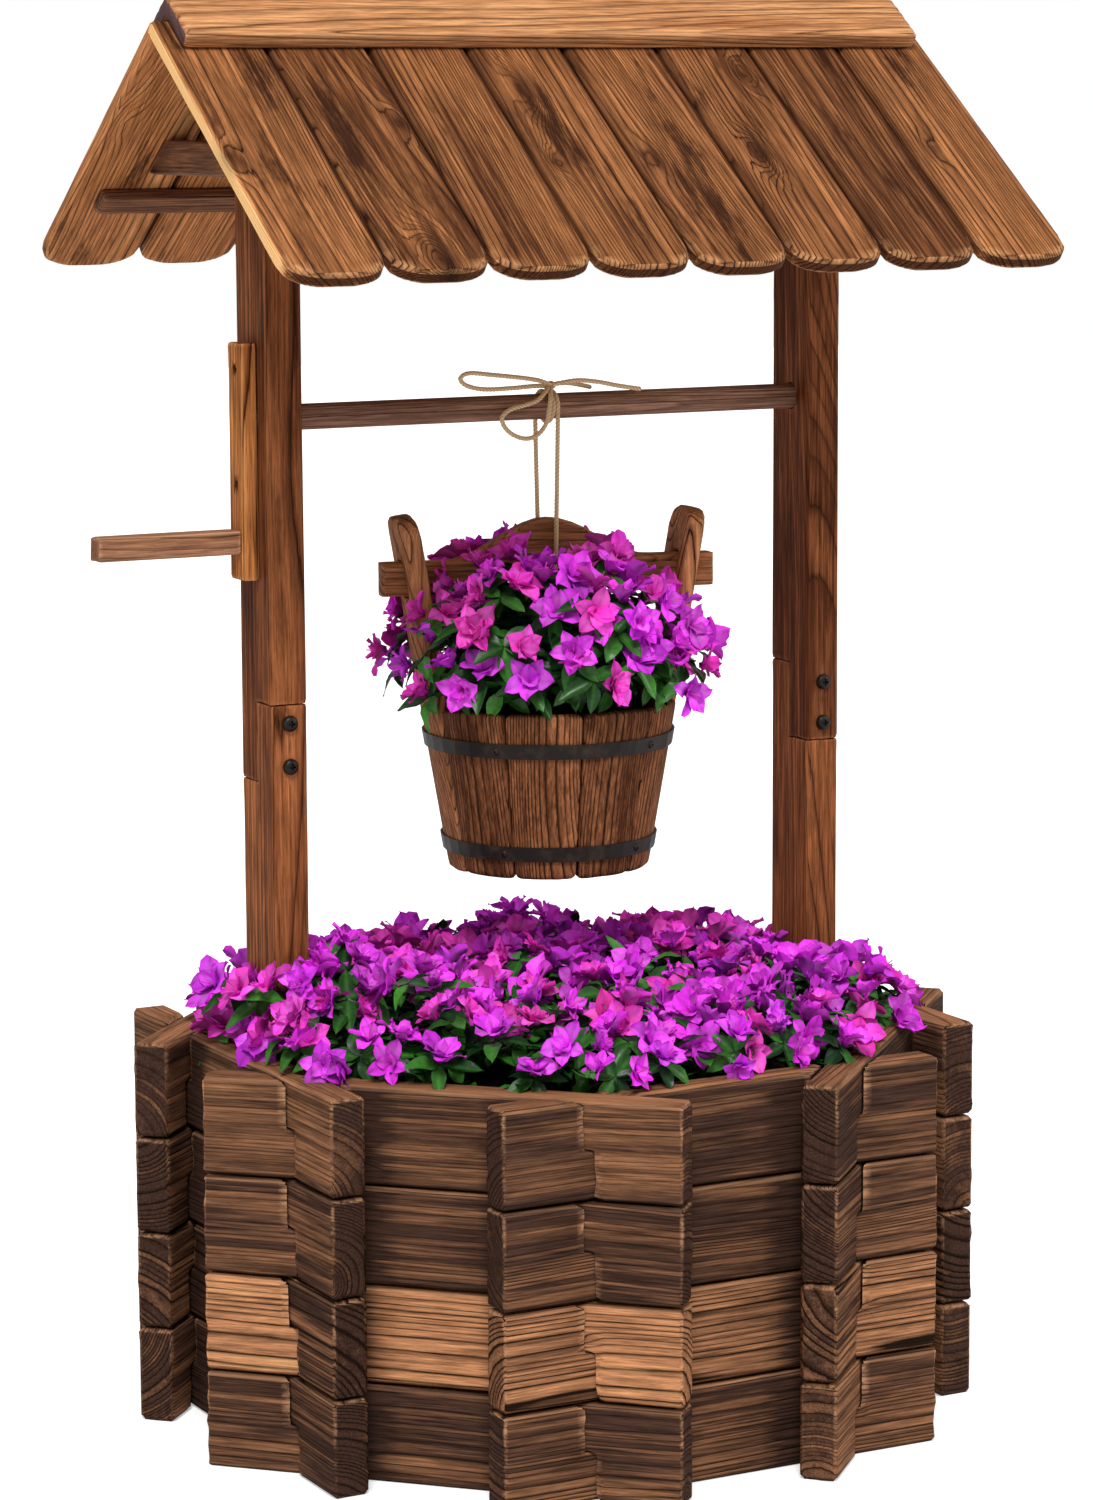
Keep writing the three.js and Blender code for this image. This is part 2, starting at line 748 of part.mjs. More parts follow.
function bucket() {
  const group = new THREE.Group();
  const stave_turn = (2 * Math.PI) / stave_count;
  const run = stave_count / 2 - 1;
  const right_lug = piece("right_lug_stave", lug(), roof_fir);
  const left_lug = piece("left_lug_stave", lug(), roof_fir);
  left_lug.rotation.z = Math.PI;
  group.add(
    piece("back_staves", staves(stave_turn / 2, run), fir),
    piece("front_staves", staves(Math.PI + stave_turn / 2, run), fir),
    right_lug,
    left_lug,
    piece("bucket_bottom", bucket_bottom(), fir),
    piece("upper_hoop", hoop(hoop_upper_rise), black_steel),
    piece("lower_hoop", hoop(hoop_lower_rise), black_steel),
    piece("yoke", yoke(), roof_fir),
  );
  group.rotation.z = THREE.MathUtils.degToRad(bucket_twist_degrees);
  return group;
}

// A route that runs exactly through its points, one step of a tube to each
class PointRoute extends THREE.Curve {
  constructor(points) {
    super();
    this.points = points;
  }

  getPointAt(share, target = new THREE.Vector3()) {
    return target.copy(this.points[Math.round(share * (this.points.length - 1))]);
  }

  getTangentAt(share, target = new THREE.Vector3()) {
    const last = this.points.length - 1;
    const index = Math.round(share * last);
    const before = this.points[Math.max(0, index - 1)];
    const after = this.points[Math.min(last, index + 1)];
    return target.copy(after).sub(before).normalize();
  }
}

function twine(points) {
  const section = new THREE.Shape();
  section.absarc(0, 0, twine_radius, 0, 2 * Math.PI, false);
  return new THREE.ExtrudeGeometry(section, {
    curveSegments: twine_sides / 2,
    steps: points.length - 1,
    extrudePath: new PointRoute(points),
    bevelEnabled: false,
  });
}

// A smooth length of twine through a hand-drawn route
function drawn_twine(route) {
  const curve = new THREE.CatmullRomCurve3(route.map((point) => new THREE.Vector3(...point)));
  return twine(curve.getSpacedPoints(Math.round(curve.getLength() / twine_step)));
}

// The bow: its own turn round the roller and a knot with two loops and two tails, in one solid
function twine_bow() {
  const turn_radius = roller_radius + seat_gap + twine_radius;
  const turn = new THREE.TorusGeometry(turn_radius, twine_radius, twine_sides, bow_turn_segments)
    .rotateY(Math.PI / 2)
    .translate(0, 0, roller_height);
  const knot = new THREE.SphereGeometry(knot_radius, knot_segments, knot_rings)
    .scale(knot_stretch_share, 1, 1)
    .translate(...knot_place);
  const routes = [long_loop_route, round_loop_route, long_tail_route, short_tail_route];
  const tied = solid(turn).add(solid(knot));
  return geometry_of(routes.reduce((bow, route) => bow.add(solid(drawn_twine(route))), tied));
}

// One half of the sling, from the roller's top down to the yoke's underside: how far down its
// straight run each point stands, and how far out and how high
function half_sling() {
  const wrap = roller_radius + seat_gap + twine_radius;
  const bend = seat_gap + twine_radius;
  const corner = yoke_thickness / 2 / Math.cos(THREE.MathUtils.degToRad(bucket_twist_degrees));
  const underside = yoke_low + yoke_arch_height;
  const top = 2 * Math.PI * sling_end_share;
  const points = [];
  for (let step = 0; step <= twine_wrap_steps; step += 1) {
    const angle = top + ((Math.PI / 2 - top) * step) / twine_wrap_steps;
    points.push({
      share: 0,
      out: wrap * Math.sin(angle),
      height: roller_height + wrap * Math.cos(angle),
    });
  }
  for (let step = 0; step <= twine_bend_steps; step += 1) {
    const angle = ((Math.PI / 2) * step) / twine_bend_steps;
    points.push({
      share: 1,
      out: corner + bend * Math.cos(angle),
      height: underside - bend * Math.sin(angle),
    });
  }
  return points;
}

// The sling: over the roller's front, down before the yoke, under it and up behind it
function twine_sling() {
  const down = half_sling();
  const at = (point, face, offset) => new THREE.Vector3(
    offset * (1 - point.share),
    face * point.out,
    point.height,
  );
  return twine([
    ...down.map((point) => at(point, -1, strand_front_offset)),
    ...down.reverse().map((point) => at(point, 1, strand_back_offset)),
  ]);
}

const well = new THREE.Group();
well.add(planter_base(), posts(), roof(), windlass(), bucket());
well.add(piece("twine_sling", twine_sling(), jute));
well.position.x = footprint_shift;

export default well;
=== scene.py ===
"""Wishing well planter: an octagonal wall of boards with a roof, a windlass and a hanging bucket.

Every length is in metres in the row frame, with Z up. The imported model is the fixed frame, and each piece
made here rides on one of its bodies.
"""

import math

import bmesh
import bpy
import numpy as np
from mathutils import Matrix, Vector


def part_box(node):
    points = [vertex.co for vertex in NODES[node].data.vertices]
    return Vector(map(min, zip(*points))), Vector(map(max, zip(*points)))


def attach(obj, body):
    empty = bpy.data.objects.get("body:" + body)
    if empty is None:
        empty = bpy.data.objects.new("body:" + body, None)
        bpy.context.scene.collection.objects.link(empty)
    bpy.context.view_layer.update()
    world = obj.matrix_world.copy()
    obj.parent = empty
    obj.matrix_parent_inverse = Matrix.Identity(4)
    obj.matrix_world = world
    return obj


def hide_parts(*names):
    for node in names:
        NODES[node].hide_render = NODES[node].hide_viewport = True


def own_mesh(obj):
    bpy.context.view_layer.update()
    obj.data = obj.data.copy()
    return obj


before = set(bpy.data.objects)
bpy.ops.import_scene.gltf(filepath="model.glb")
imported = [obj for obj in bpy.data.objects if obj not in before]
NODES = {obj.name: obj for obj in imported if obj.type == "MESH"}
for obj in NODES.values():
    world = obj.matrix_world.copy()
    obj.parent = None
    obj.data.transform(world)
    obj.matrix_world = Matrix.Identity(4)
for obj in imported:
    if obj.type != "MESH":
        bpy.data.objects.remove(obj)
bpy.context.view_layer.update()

MM = 0.001
TURN = 2 * math.pi
X = (1.0, 0.0, 0.0)
Y = (0.0, 1.0, 0.0)
UP = (0.0, 0.0, 1.0)

# The well's own frame has its octagon on X = 0, and stands this far along X in the row frame
CENTRE_X = 25.4 * MM

# The camera that took the photograph
FOCAL_PIXELS = 4362.36
LONG_SIDE_PIXELS = 1500
SENSOR_MM = 36
CAMERA_PLACE = (-1564.0 * MM, -3002.3 * MM, 1030.9 * MM)
CAMERA_YAW = math.radians(27.875)
CAMERA_PITCH = math.radians(8.638)
CAMERA_ROLL = math.radians(-0.286)

# Light: the sky's level, and each lamp's direction, strength and spread in degrees
SKY_LEVEL = 0.4
LAMPS = {
    "key": ((0.42, 0.75, -1.05), 2.65, 20),
    "fill": ((0.9, 0.35, -0.2), 0.3, 50),
    "right": ((-0.8, 0.45, -0.4), 0.8, 16),
}
FLOOR_HALF = 12.0
FLOOR_GLOW = 0.42

# Sizes that the pieces share
SIDE_NAMES = ("front", "front_right", "right", "back_right", "back", "back_left", "left", "front_left")
SIDE_COUNT = len(SIDE_NAMES)
COURSE_COUNT = 4
RIM_HEIGHT = 304 * MM
WALL_INNER_APOTHEM = 251 * MM
POST_INNER = 220.7 * MM
POST_OUTER = 250.7 * MM
POST_HALF_WIDTH = 28 * MM
ROOF_APEX = 1082 * MM
ROOF_PITCH = math.radians(36.5)
ROOF_BOARDS = 8
ROLLER_HEIGHT = 785.6 * MM
BUCKET_TWIST = math.radians(-11.7)
BUCKET_BASE = 424.5 * MM
BUCKET_RIM = 556.5 * MM
BUCKET_BASE_RADIUS = 79 * MM
BUCKET_RIM_RADIUS = 101.5 * MM
STAVE_COUNT = 10
STAVE_ANGLE = TURN / STAVE_COUNT
STAVE_THICKNESS = 13 * MM


# Arrays, noise and meshes

# Points this near to each other are one point
MERGE_DISTANCE = 1e-6
# Lengths and areas are at least this much where something is divided by them
TINY = 1e-15


def rng_of(name):
    """A random source that depends on the piece's name alone."""
    return np.random.default_rng([ord(c) for c in name])


def smoothstep(x):
    x = np.clip(x, 0, 1)
    return x * x * (3 - 2 * x)


def waves(points, rng, wavelength, count=6):
    """A smooth random field from -1 to 1 with about that wavelength."""
    total = np.zeros(len(points))
    for _ in range(count):
        direction = rng.normal(size=3)
        direction /= np.linalg.norm(direction)
        pitch = TURN / (wavelength * rng.uniform(0.7, 1.5))
        total += np.sin(points @ direction * pitch + rng.uniform(0, TURN))
    return total / math.sqrt(count) / 1.5


def arc(angles, radius=1.0, z=0.0):
    """Points round the Z axis at those angles."""
    angles = np.asarray(angles, float)
    return np.stack([radius * np.cos(angles), radius * np.sin(angles), z + 0 * angles], axis=-1)


def even_angles(count, shift=0.0):
    return (np.arange(count) + shift) * TURN / count


def ring_faces(rings, sides, apex=False):
    """The faces of a closed solid through rings of points. It starts with a flat cap, and ends with another
    or, with an apex, with one last point."""
    last = (rings - 1) * sides
    faces = [tuple(range(sides))[::-1]]
    if apex:
        faces += [(last + k, last + (k + 1) % sides, last + sides) for k in range(sides)]
    else:
        faces.append(tuple(range(last, last + sides)))
    for i in range(rings - 1):
        for k in range(sides):
            a, n = i * sides + k, i * sides + (k + 1) % sides
            faces.append((a, n, n + sides, a + sides))
    return faces


def merged(solids):
    """Several solids' points and faces as one."""
    points, faces, first = [], [], 0
    for part_points, part_faces in solids:
        points.append(part_points)
        faces += [[first + v for v in f] for f in part_faces]
        first += len(part_points)
    return np.concatenate(points), faces


def link(obj):
    bpy.context.scene.collection.objects.link(obj)
    return obj


def mesh_object(name, points, faces, smooth=True):
    mesh = bpy.data.meshes.new(name)
    indices = [[int(v) for v in f] for f in faces]
    mesh.from_pydata(np.asarray(points).tolist(), [], indices, shade_flat=not smooth)
    mesh.update()
    return link(bpy.data.objects.new(name, mesh))


def mesh_arrays(mesh):
    """A mesh's points and faces."""
    return np.array([v.co[:] for v in mesh.vertices]), [list(p.vertices) for p in mesh.polygons]


def remove_meshes(*objects):
    for obj in objects:
        mesh = obj.data
        bpy.data.objects.remove(obj)
        bpy.data.meshes.remove(mesh)


ATTRIBUTE_KINDS = {1: ("FLOAT", "value"), 3: ("FLOAT_VECTOR", "vector"), 4: ("FLOAT_COLOR", "color")}


def write_attributes(obj, **fields):
    """Numbers, vectors or colours at the object's points, under those names."""
    for name, values in fields.items():
        values = np.asarray(values, np.float32).reshape(len(obj.data.vertices), -1)
        kind, field = ATTRIBUTE_KINDS[values.shape[1]]
        obj.data.attributes.new(name, kind, "POINT").data.foreach_set(field, values.ravel())


def fitted(obj, look, body, replaces=()):
    """The object with its look, on its body and in place of the CAD nodes that it stands for."""
    obj.data.materials.append(look)
    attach(obj, body)
    if replaces:
        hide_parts(*replaces)
    return obj


def cad_solid(node):
    """The CAD node's points and faces, with its split corners merged."""
    bm = bmesh.new()
    bm.from_mesh(NODES[node].data)
    bmesh.ops.remove_doubles(bm, verts=bm.verts, dist=MERGE_DISTANCE)
    bm.verts.index_update()
    points = np.array([v.co[:] for v in bm.verts])
    faces = [[v.index for v in f.verts] for f in bm.faces]
    bm.free()
    return points, faces


def remeshed(points, faces, voxel):
    """The solid as an even net of quads."""
    raw = mesh_object("raw", points, faces)
    modifier = raw.modifiers.new("net", "REMESH")
    modifier.mode = "VOXEL"
    modifier.voxel_size = voxel
    modifier.adaptivity = 0
    net = mesh_arrays(raw.evaluated_get(bpy.context.evaluated_depsgraph_get()).to_mesh())
    remove_meshes(raw)
    return net


def gathered(index, values, count):
    """The sum of the rows of values that fall on each index."""
    return np.stack([np.bincount(index, column, count) for column in values.T], axis=1)


class Net:
    """A closed mesh as arrays, with the normals and the neighbour means that wear is worked out from."""

    def __init__(self, points, polygons, planes=None):
        self.points = np.array(points)
        self.polygons = polygons
        self.planes = planes
        counts = np.array([len(p) for p in polygons])
        starts = np.cumsum(counts) - counts
        self.corner = np.concatenate([np.array(p) for p in polygons])
        self.face = np.repeat(np.arange(len(polygons)), counts)
        following = np.arange(len(self.corner)) + 1
        following[starts + counts - 1] = starts
        self.after = self.corner[following]
        pairs = np.sort(np.stack([self.corner, self.after], axis=1), axis=1)
        self.edges = np.unique(pairs, axis=0)
        self.degree = np.bincount(self.edges.ravel(), minlength=len(self.points)).clip(1)

    def mean(self, values):
        """Each point's mean of its neighbours' values."""
        a, b = self.edges.T
        flat = values.reshape(len(self.points), -1)
        total = gathered(a, flat[b], len(flat)) + gathered(b, flat[a], len(flat))
        return (total / self.degree[:, None]).reshape(values.shape)

    def normals(self, by_plane=False):
        """The unit normals, and how flat the surface is at each point: 1 on a plane and less at an edge.
        By plane, the largest flat face that a point lies on has most say."""
        middle = self.points.mean(0)
        crossed = np.cross(self.points[self.corner] - middle, self.points[self.after] - middle)
        count = self.face.max() + 1
        area = gathered(self.face, crossed, count)
        size = np.linalg.norm(area, axis=1).clip(TINY)
        weight = self.planes**2 / size if by_plane else np.ones(count)
        total = gathered(self.corner, (area * weight[:, None])[self.face], len(self.points))
        most = np.bincount(self.corner, (size * weight)[self.face], len(self.points)).clip(TINY)
        length = np.linalg.norm(total, axis=1).clip(TINY)
        return total / length[:, None], length / most


# Faces within this distance of one plane count as one flat face
PLANE_STEP = 0.2 * MM
# How far from a board's ends the first cut lies
END_CUT = 3.2 * MM


def cut_places(low, high, step):
    """Where to cut from low to high: close together at both ends and a step apart between them."""
    span = high - low
    count = max(1, int(round(span / step)))
    places = list(low + span * np.arange(1, count) / count)
    near = [low + END_CUT, high - END_CUT] if span > 4 * step else []
    return sorted(places + near)


def cut_net(points, faces, steps):
    """The solid with its flat faces cut into a grid, its edges kept as they are.
    The triangles of a flat face are joined first, but not on a solid with a hole through it."""
    bm = bmesh.new()
    corners = [bm.verts.new(p) for p in points]
    for f in faces:
        bm.faces.new([corners[i] for i in f])
    bmesh.ops.recalc_face_normals(bm, faces=bm.faces)
    if len(bm.verts) - len(bm.edges) + len(bm.faces) == 2:
        bmesh.ops.dissolve_limit(bm, angle_limit=math.radians(0.5), verts=bm.verts, edges=bm.edges)
    plane = bm.faces.layers.float.new("plane")
    flats = {}
    for f in bm.faces:
        key = (*(round(c, 2) for c in f.normal), round(f.normal.dot(f.verts[0].co) / PLANE_STEP))
        flats.setdefault(key, []).append(f)
    for group in flats.values():
        area = sum(f.calc_area() for f in group)
        for f in group:
            f[plane] = area
    for axis, across in enumerate((X, Y, UP)):
        for place in cut_places(points[:, axis].min(), points[:, axis].max(), steps[axis]):
            through = [c * place for c in across]
            everything = bm.verts[:] + bm.edges[:] + bm.faces[:]
            bmesh.ops.bisect_plane(
                bm, geom=everything, dist=MERGE_DISTANCE, plane_co=through, plane_no=across
            )
    bm.verts.index_update()
    net = Net(
        [v.co[:] for v in bm.verts],
        [[v.index for v in f.verts] for f in bm.faces],
        np.array([f[plane] for f in bm.faces]),
    )
    bm.free()
    return net


# Wood


def frame_axes(along, across):
    """Rows of a right-handed frame: along the grain, across, and the third."""
    a = Vector(along).normalized()
    c = a.cross(Vector(across)).normalized()
    return np.array([a[:], c.cross(a)[:], c[:]])


def growth_rings(local, rng, spacing=4.5 * MM, reach=60 * MM, pith_angle=1.5, tilt=0.01, knots=()):
    """Ring count at each point from a wandering pith, and how near each point is to a knot."""
    along = local[:, 0]
    line = np.stack([along, 0 * along, 0 * along], axis=1)
    sway_y, sway_z = (3 * MM * waves(line, rng, 300 * MM, 3) for _ in range(2))
    pith_y = reach * math.cos(pith_angle) + rng.normal() * tilt * along + sway_y
    pith_z = reach * math.sin(pith_angle) + rng.normal() * tilt * along + sway_z
    radius = np.hypot(local[:, 1] - pith_y, local[:, 2] - pith_z)
    radius = radius + 0.1 * spacing * waves(local * (0.2, 1, 1), rng, 30 * MM)
    dark = np.zeros(len(local))
    for place, size, sign in knots:
        away = (local - place) / (2.4 * size, size, size)
        near = np.exp(-0.5 * np.sum(away * away, axis=1))
        radius = radius + sign * 2.2 * size * near
        dark = np.maximum(dark, np.exp(-0.5 * np.sum((away * 1.35) ** 2, axis=1)))
    swell = rng.uniform(35, 60) * MM
    share = 0.6 * swell / spacing / TURN
    ring = radius / spacing + share * np.sin(TURN * radius / swell + rng.uniform(0, 6))
    return ring + rng.uniform(20, 60), dark


def timber(
    name, solid, axes, body, look, slot="fir", replaces=(), origin=None, tone=0.5, figure=0.8,
    steps=None, voxel=3 * MM, stretch=0.6, wear_depth=1.2 * MM, wear_share=1.0, relief=0.5 * MM,
    end_shade=0.22, **rings,
):
    """A wooden piece with worn edges, raised grain at its ends, and the attributes that its material reads.
    With steps, in mm, its faces are cut into a grid. Without, the whole solid becomes an even net.
    The tone and the share of wear are numbers, or functions of the points in the piece's own frame.
    End grain is darker than the faces along the grain by the end shade."""
    rng = rng_of(name)
    points, faces = solid
    if origin is None:
        origin = (points.min(0) + points.max(0)) / 2
    local = (points - origin) @ axes.T
    if steps:
        net = cut_net(local, faces, [s * MM for s in steps])
    else:
        squeezed, quads = remeshed(local * (stretch, 1, 1), faces, voxel)
        net = Net(squeezed / (stretch, 1, 1), quads)
        for _ in range(2):
            _, flat = net.normals()
            soften = np.clip((1 - flat) * 8, 0, 0.6)[:, None]
            net.points = net.points + (net.mean(net.points) - net.points) * soften
    normal, flat = net.normals()
    shown_normal = net.normals(by_plane=True)[0] if steps else normal
    bulge = np.sum((net.mean(net.points) - net.points) * normal, axis=1)
    edge = np.clip((1 - flat) * 9, 0, 1) * (bulge < 0)
    wide = edge if steps else np.clip(net.mean(net.mean(edge)) * 1.6, 0, 1)
    ring, dark = growth_rings(net.points, rng, **rings)
    breakup = 0.5 + 0.5 * waves(net.points * (0.5, 1, 1), rng, 18 * MM)
    ridges = 0.5 + 0.5 * waves(net.points * (0.12, 1, 1), rng, 16 * MM)
    on_end = np.abs(normal[:, 0]) + 0.6 * wide
    depth = wear_depth * wide * (0.25 + breakup) + relief * ridges * np.clip(on_end, 0.15, 1.2)
    net.points = net.points - normal * depth[:, None]
    obj = mesh_object(name, net.points @ axes + origin, net.polygons)
    if steps:
        bent = shown_normal + net.normals()[0] - normal
        bent /= np.linalg.norm(bent, axis=1)[:, None]
        obj.data.normals_split_custom_set_from_vertices((bent @ axes).tolist())
    shift = rng.uniform(-5, 5, 3)
    share = wear_share(net.points) if callable(wear_share) else wear_share
    shade = tone(net.points) if callable(tone) else tone
    on_cut = smoothstep(np.abs(shown_normal[:, 0]) * 2 - 0.8)
    write_attributes(
        obj, grain=net.points + shift, ring=ring, wear=wide * share, knot=dark,
        tone=shade - end_shade * on_cut, figure=np.full(len(ring), figure), end=on_cut,
    )
    return fitted(obj, look, body, replaces)


# Material nodes


class Value:
    """A node's output. Sums, differences and products of such outputs are nodes too."""

    def __init__(self, tree, socket):
        self.tree = tree
        self.socket = socket

    def math(self, operation, *others):
        inputs = dict(enumerate((self, *others)))
        return add(self.tree, "ShaderNodeMath", inputs, operation=operation)

    def __add__(self, other):
        return self.math("ADD", other)

    def __sub__(self, other):
        return self.math("SUBTRACT", other)

    def __rsub__(self, other):
        return add(self.tree, "ShaderNodeMath", {0: other, 1: self}, operation="SUBTRACT")

    def __mul__(self, other):
        return self.math("MULTIPLY", other)

    def clamped(self):
        """The same value, kept from 0 to 1."""
        self.socket.node.use_clamp = True
        return self


def feed(socket, value):
    """The socket takes another node's output, a number, a vector, or a colour's three shares."""
    if isinstance(value, Value):
        value.tree.links.new(value.socket, socket)
    else:
        socket.default_value = (*value, 1) if socket.type == "RGBA" else value


def add(tree, kind, inputs=None, output=0, **settings):
    """The output of a new node with those settings and inputs."""
    node = tree.nodes.new(kind)
    for key, value in settings.items():
        setattr(node, key, value)
    for key, value in (inputs or {}).items():
        feed(node.inputs[key], value)
    return Value(tree, node.outputs[output])


def mixed(factor, a, b, blend="MIX"):
    """Colour a with as much of colour b as the factor says. The factor or a is a node's output."""
    tree = factor.tree if isinstance(factor, Value) else a.tree
    return add(tree, "ShaderNodeMix", {0: factor, 6: a, 7: b}, 2, data_type="RGBA", blend_type=blend)


def attribute(tree, name, output="Fac"):
    return add(tree, "ShaderNodeAttribute", output=output, attribute_name=name)


def noise(vector, scale, detail, rough):
    inputs = {"Vector": vector, "Scale": scale, "Detail": detail, "Roughness": rough}
    return add(vector.tree, "ShaderNodeTexNoise", inputs, "Fac")


def curve(value, stops):
    """A grey ramp through the stops, each a place and a level."""
    ramp = add(value.tree, "ShaderNodeValToRGB", {0: value})
    scale = ramp.socket.node.color_ramp
    scale.interpolation = "LINEAR" if len(stops) > 2 else "EASE"
    while len(scale.elements) < len(stops):
        scale.elements.new(0.5)
    for element, (place, level) in zip(scale.elements, stops):
        element.position = place
        element.color = (level, level, level, 1)
    return ramp


def new_material(name):
    """A material and its node tree."""
    material = bpy.data.materials.new(name)
    material.use_nodes = True
    return material, material.node_tree


def finish(material, colour, roughness, specular, height, distance, strength=1.0):
    """The material with its colour, its gloss and the bump that the height gives."""
    tree = material.node_tree
    bump = add(tree, "ShaderNodeBump", {"Strength": strength, "Distance": distance, "Height": height})
    fields = {"Base Color": colour, "Roughness": roughness, "Specular IOR Level": specular, "Normal": bump}
    for key, value in fields.items():
        feed(tree.nodes["Principled BSDF"].inputs[key], value)
    return material


# The colours of a face that was cut after the wood was scorched, and of one that is charred all over. The
# first also serves as a painted highlight where painted light lifts a tone this high, as on the front gable's
# cut edge, and the second as painted shade where painted shade sinks one this low, as in the wall's pockets
RAW_AND_LIT_WOOD = (1.0, 0.6, 0.25)
CHARRED_AND_SHADED_WOOD = (0.085, 0.05, 0.055)
# Lightness past these turns into them
RAW_ABOVE = 1.1
CHARRED_BELOW = -0.9

# How pale a growth ring is from its start, where it is dark late wood, through to the next
RING_STOPS = ((0.0, 0.0), (0.08, 0.8), (0.3, 1.0), (0.74, 0.9), (0.91, 0.45), (1.0, 0.0))

# Each wood's growth lines, dark bands, pale bands and worn edges, its relief, roughness and share of scorch
# marks, and what else sets its material apart
WOODS = {
    "wall": (
        (0.014, 0.006, 0.003), (0.058, 0.028, 0.019), (0.6, 0.265, 0.12), (0.5, 0.26, 0.14),
        1.4 * MM, 0.75, 0.4, dict(clouds=0.7),
    ),
    # The roof's pale worn-edge colour is wear on the rims of the boards' rounded ends, and also a painted
    # highlight on their upper bevels
    "roof": (
        (0.03, 0.009, 0.004), (0.1, 0.033, 0.012), (0.66, 0.26, 0.09), (0.95, 0.48, 0.21),
        0.6 * MM, 0.6, 0.9, dict(lines=1.15, worn=(0.3, 0.6)),
    ),
    "ridge": (
        (0.12, 0.04, 0.012), (0.36, 0.13, 0.048), (0.95, 0.5, 0.22), (0.8, 0.43, 0.21),
        0.6 * MM, 0.62, 0.25, dict(clouds=0.8),
    ),
    "dark": (
        (0.025, 0.01, 0.007), (0.09, 0.038, 0.024), (0.42, 0.18, 0.085), (0.25, 0.12, 0.07),
        0.5 * MM, 0.6, 0.4, {},
    ),
    "roller": (
        (0.06, 0.025, 0.016), (0.16, 0.075, 0.048), (0.48, 0.26, 0.17), (0.3, 0.15, 0.09),
        0.4 * MM, 0.6, 0.3, {},
    ),
    "post": (
        (0.035, 0.009, 0.003), (0.095, 0.026, 0.009), (0.56, 0.19, 0.066), (0.42, 0.16, 0.065),
        0.6 * MM, 0.62, 0.5, {},
    ),
    "arm": (
        (0.07, 0.016, 0.003), (0.28, 0.08, 0.02), (0.85, 0.34, 0.1), (0.72, 0.34, 0.14),
        1.0 * MM, 0.65, 0.2, dict(lines=1.2),
    ),
    "handle": (
        (0.1, 0.04, 0.02), (0.24, 0.1, 0.052), (0.58, 0.29, 0.16), (0.5, 0.27, 0.15),
        0.6 * MM, 0.65, 0.2, {},
    ),
    "stave": (
        (0.03, 0.01, 0.004), (0.1, 0.032, 0.013), (0.56, 0.22, 0.09), (0.34, 0.14, 0.07),
        0.5 * MM, 0.65, 0.3, dict(lines=1.6),
    ),
    "yoke": (
        (0.06, 0.02, 0.008), (0.16, 0.056, 0.024), (0.55, 0.22, 0.095), (0.5, 0.22, 0.1),
        0.3 * MM, 0.6, 0.35, {},
    ),
    "lug": (
        (0.03, 0.009, 0.004), (0.15, 0.045, 0.016), (0.68, 0.28, 0.12), (0.5, 0.22, 0.1),
        0.8 * MM, 0.65, 0.35, dict(lines=1.2),
    ),
}


def wood_material(
    name, groove, dark, light, edge, relief, roughness, char, lines=1.0, clouds=1.0, worn=(0.35, 0.1)
):
    """Brushed, scorched softwood: dark growth lines between paler bands, fibres and paler worn edges."""
    material, tree = new_material(name)
    grain = attribute(tree, "grain", "Vector")
    names = ("ring", "wear", "knot", "tone", "figure", "end")
    ring, wear, knot, tone, figure, end = (attribute(tree, key) for key in names)

    def texture(scale, detail, rough):
        """Noise with those many cycles a metre along the grain, and across it both ways."""
        vector = add(tree, "ShaderNodeVectorMath", {0: grain, 1: scale}, operation="MULTIPLY")
        return noise(vector, 1.0, detail, rough)

    fibre = texture((26, 620, 620), 4.0, 0.7)
    streak = texture((5, 270, 270), 5.0, 0.7)
    cloud = texture((5, 26, 26), 3.0, 0.6)
    patches = texture((7, 42, 42), 5.0, 0.7)

    warped = ring + (cloud - 0.5) * 0.4 + (streak - 0.5) * 0.25
    each = add(
        tree, "ShaderNodeTexWhiteNoise", {"W": warped.math("FLOOR")}, "Value", noise_dimensions="1D"
    )
    line_depth = (each + 0.5) * figure * lines * (end * 0.5 + 1.0)
    lined = 1.0 - ((1.0 - curve(warped.math("FRACT"), RING_STOPS)) * line_depth).clamped()

    streaky = figure * (1.0 - end * 0.7)
    lightness = tone + (each - 0.5) * 0.3 + (cloud - 0.5) * (1.1 * clouds) + (streak - 0.5) * 1.9 * streaky
    # Past these limits the colour turns to bare wood and to char, which also carry the painted highlights and
    # painted shade that some tones hold
    raw = ((lightness - RAW_ABOVE).clamped() * 1.4).clamped()
    charred = ((CHARRED_BELOW - lightness).clamped() * 1.4).clamped()
    fine = ((fibre - 0.5) * 2.6 + 0.87).math("MAXIMUM", 0.25)

    colour = mixed(lightness, dark, light)
    colour = mixed(lined, groove, colour)
    colour = mixed(1.0, colour, fine, "MULTIPLY")
    colour = mixed(curve(patches, ((0.52, 0.0), (0.68, 1.0))) * char, colour, groove)
    colour = mixed(wear * curve(streak, (worn, (0.62, 0.95))) * lined, colour, edge)
    colour = mixed(raw * 0.85, colour, RAW_AND_LIT_WOOD)
    colour = mixed(charred * 0.9, colour, CHARRED_AND_SHADED_WOOD)
    colour = mixed(knot * 0.92, colour, groove)
    gloss = streak * 0.3 + (roughness - 0.15)
    return finish(material, colour, gloss, 0.05, lined + fibre * 0.35, relief)


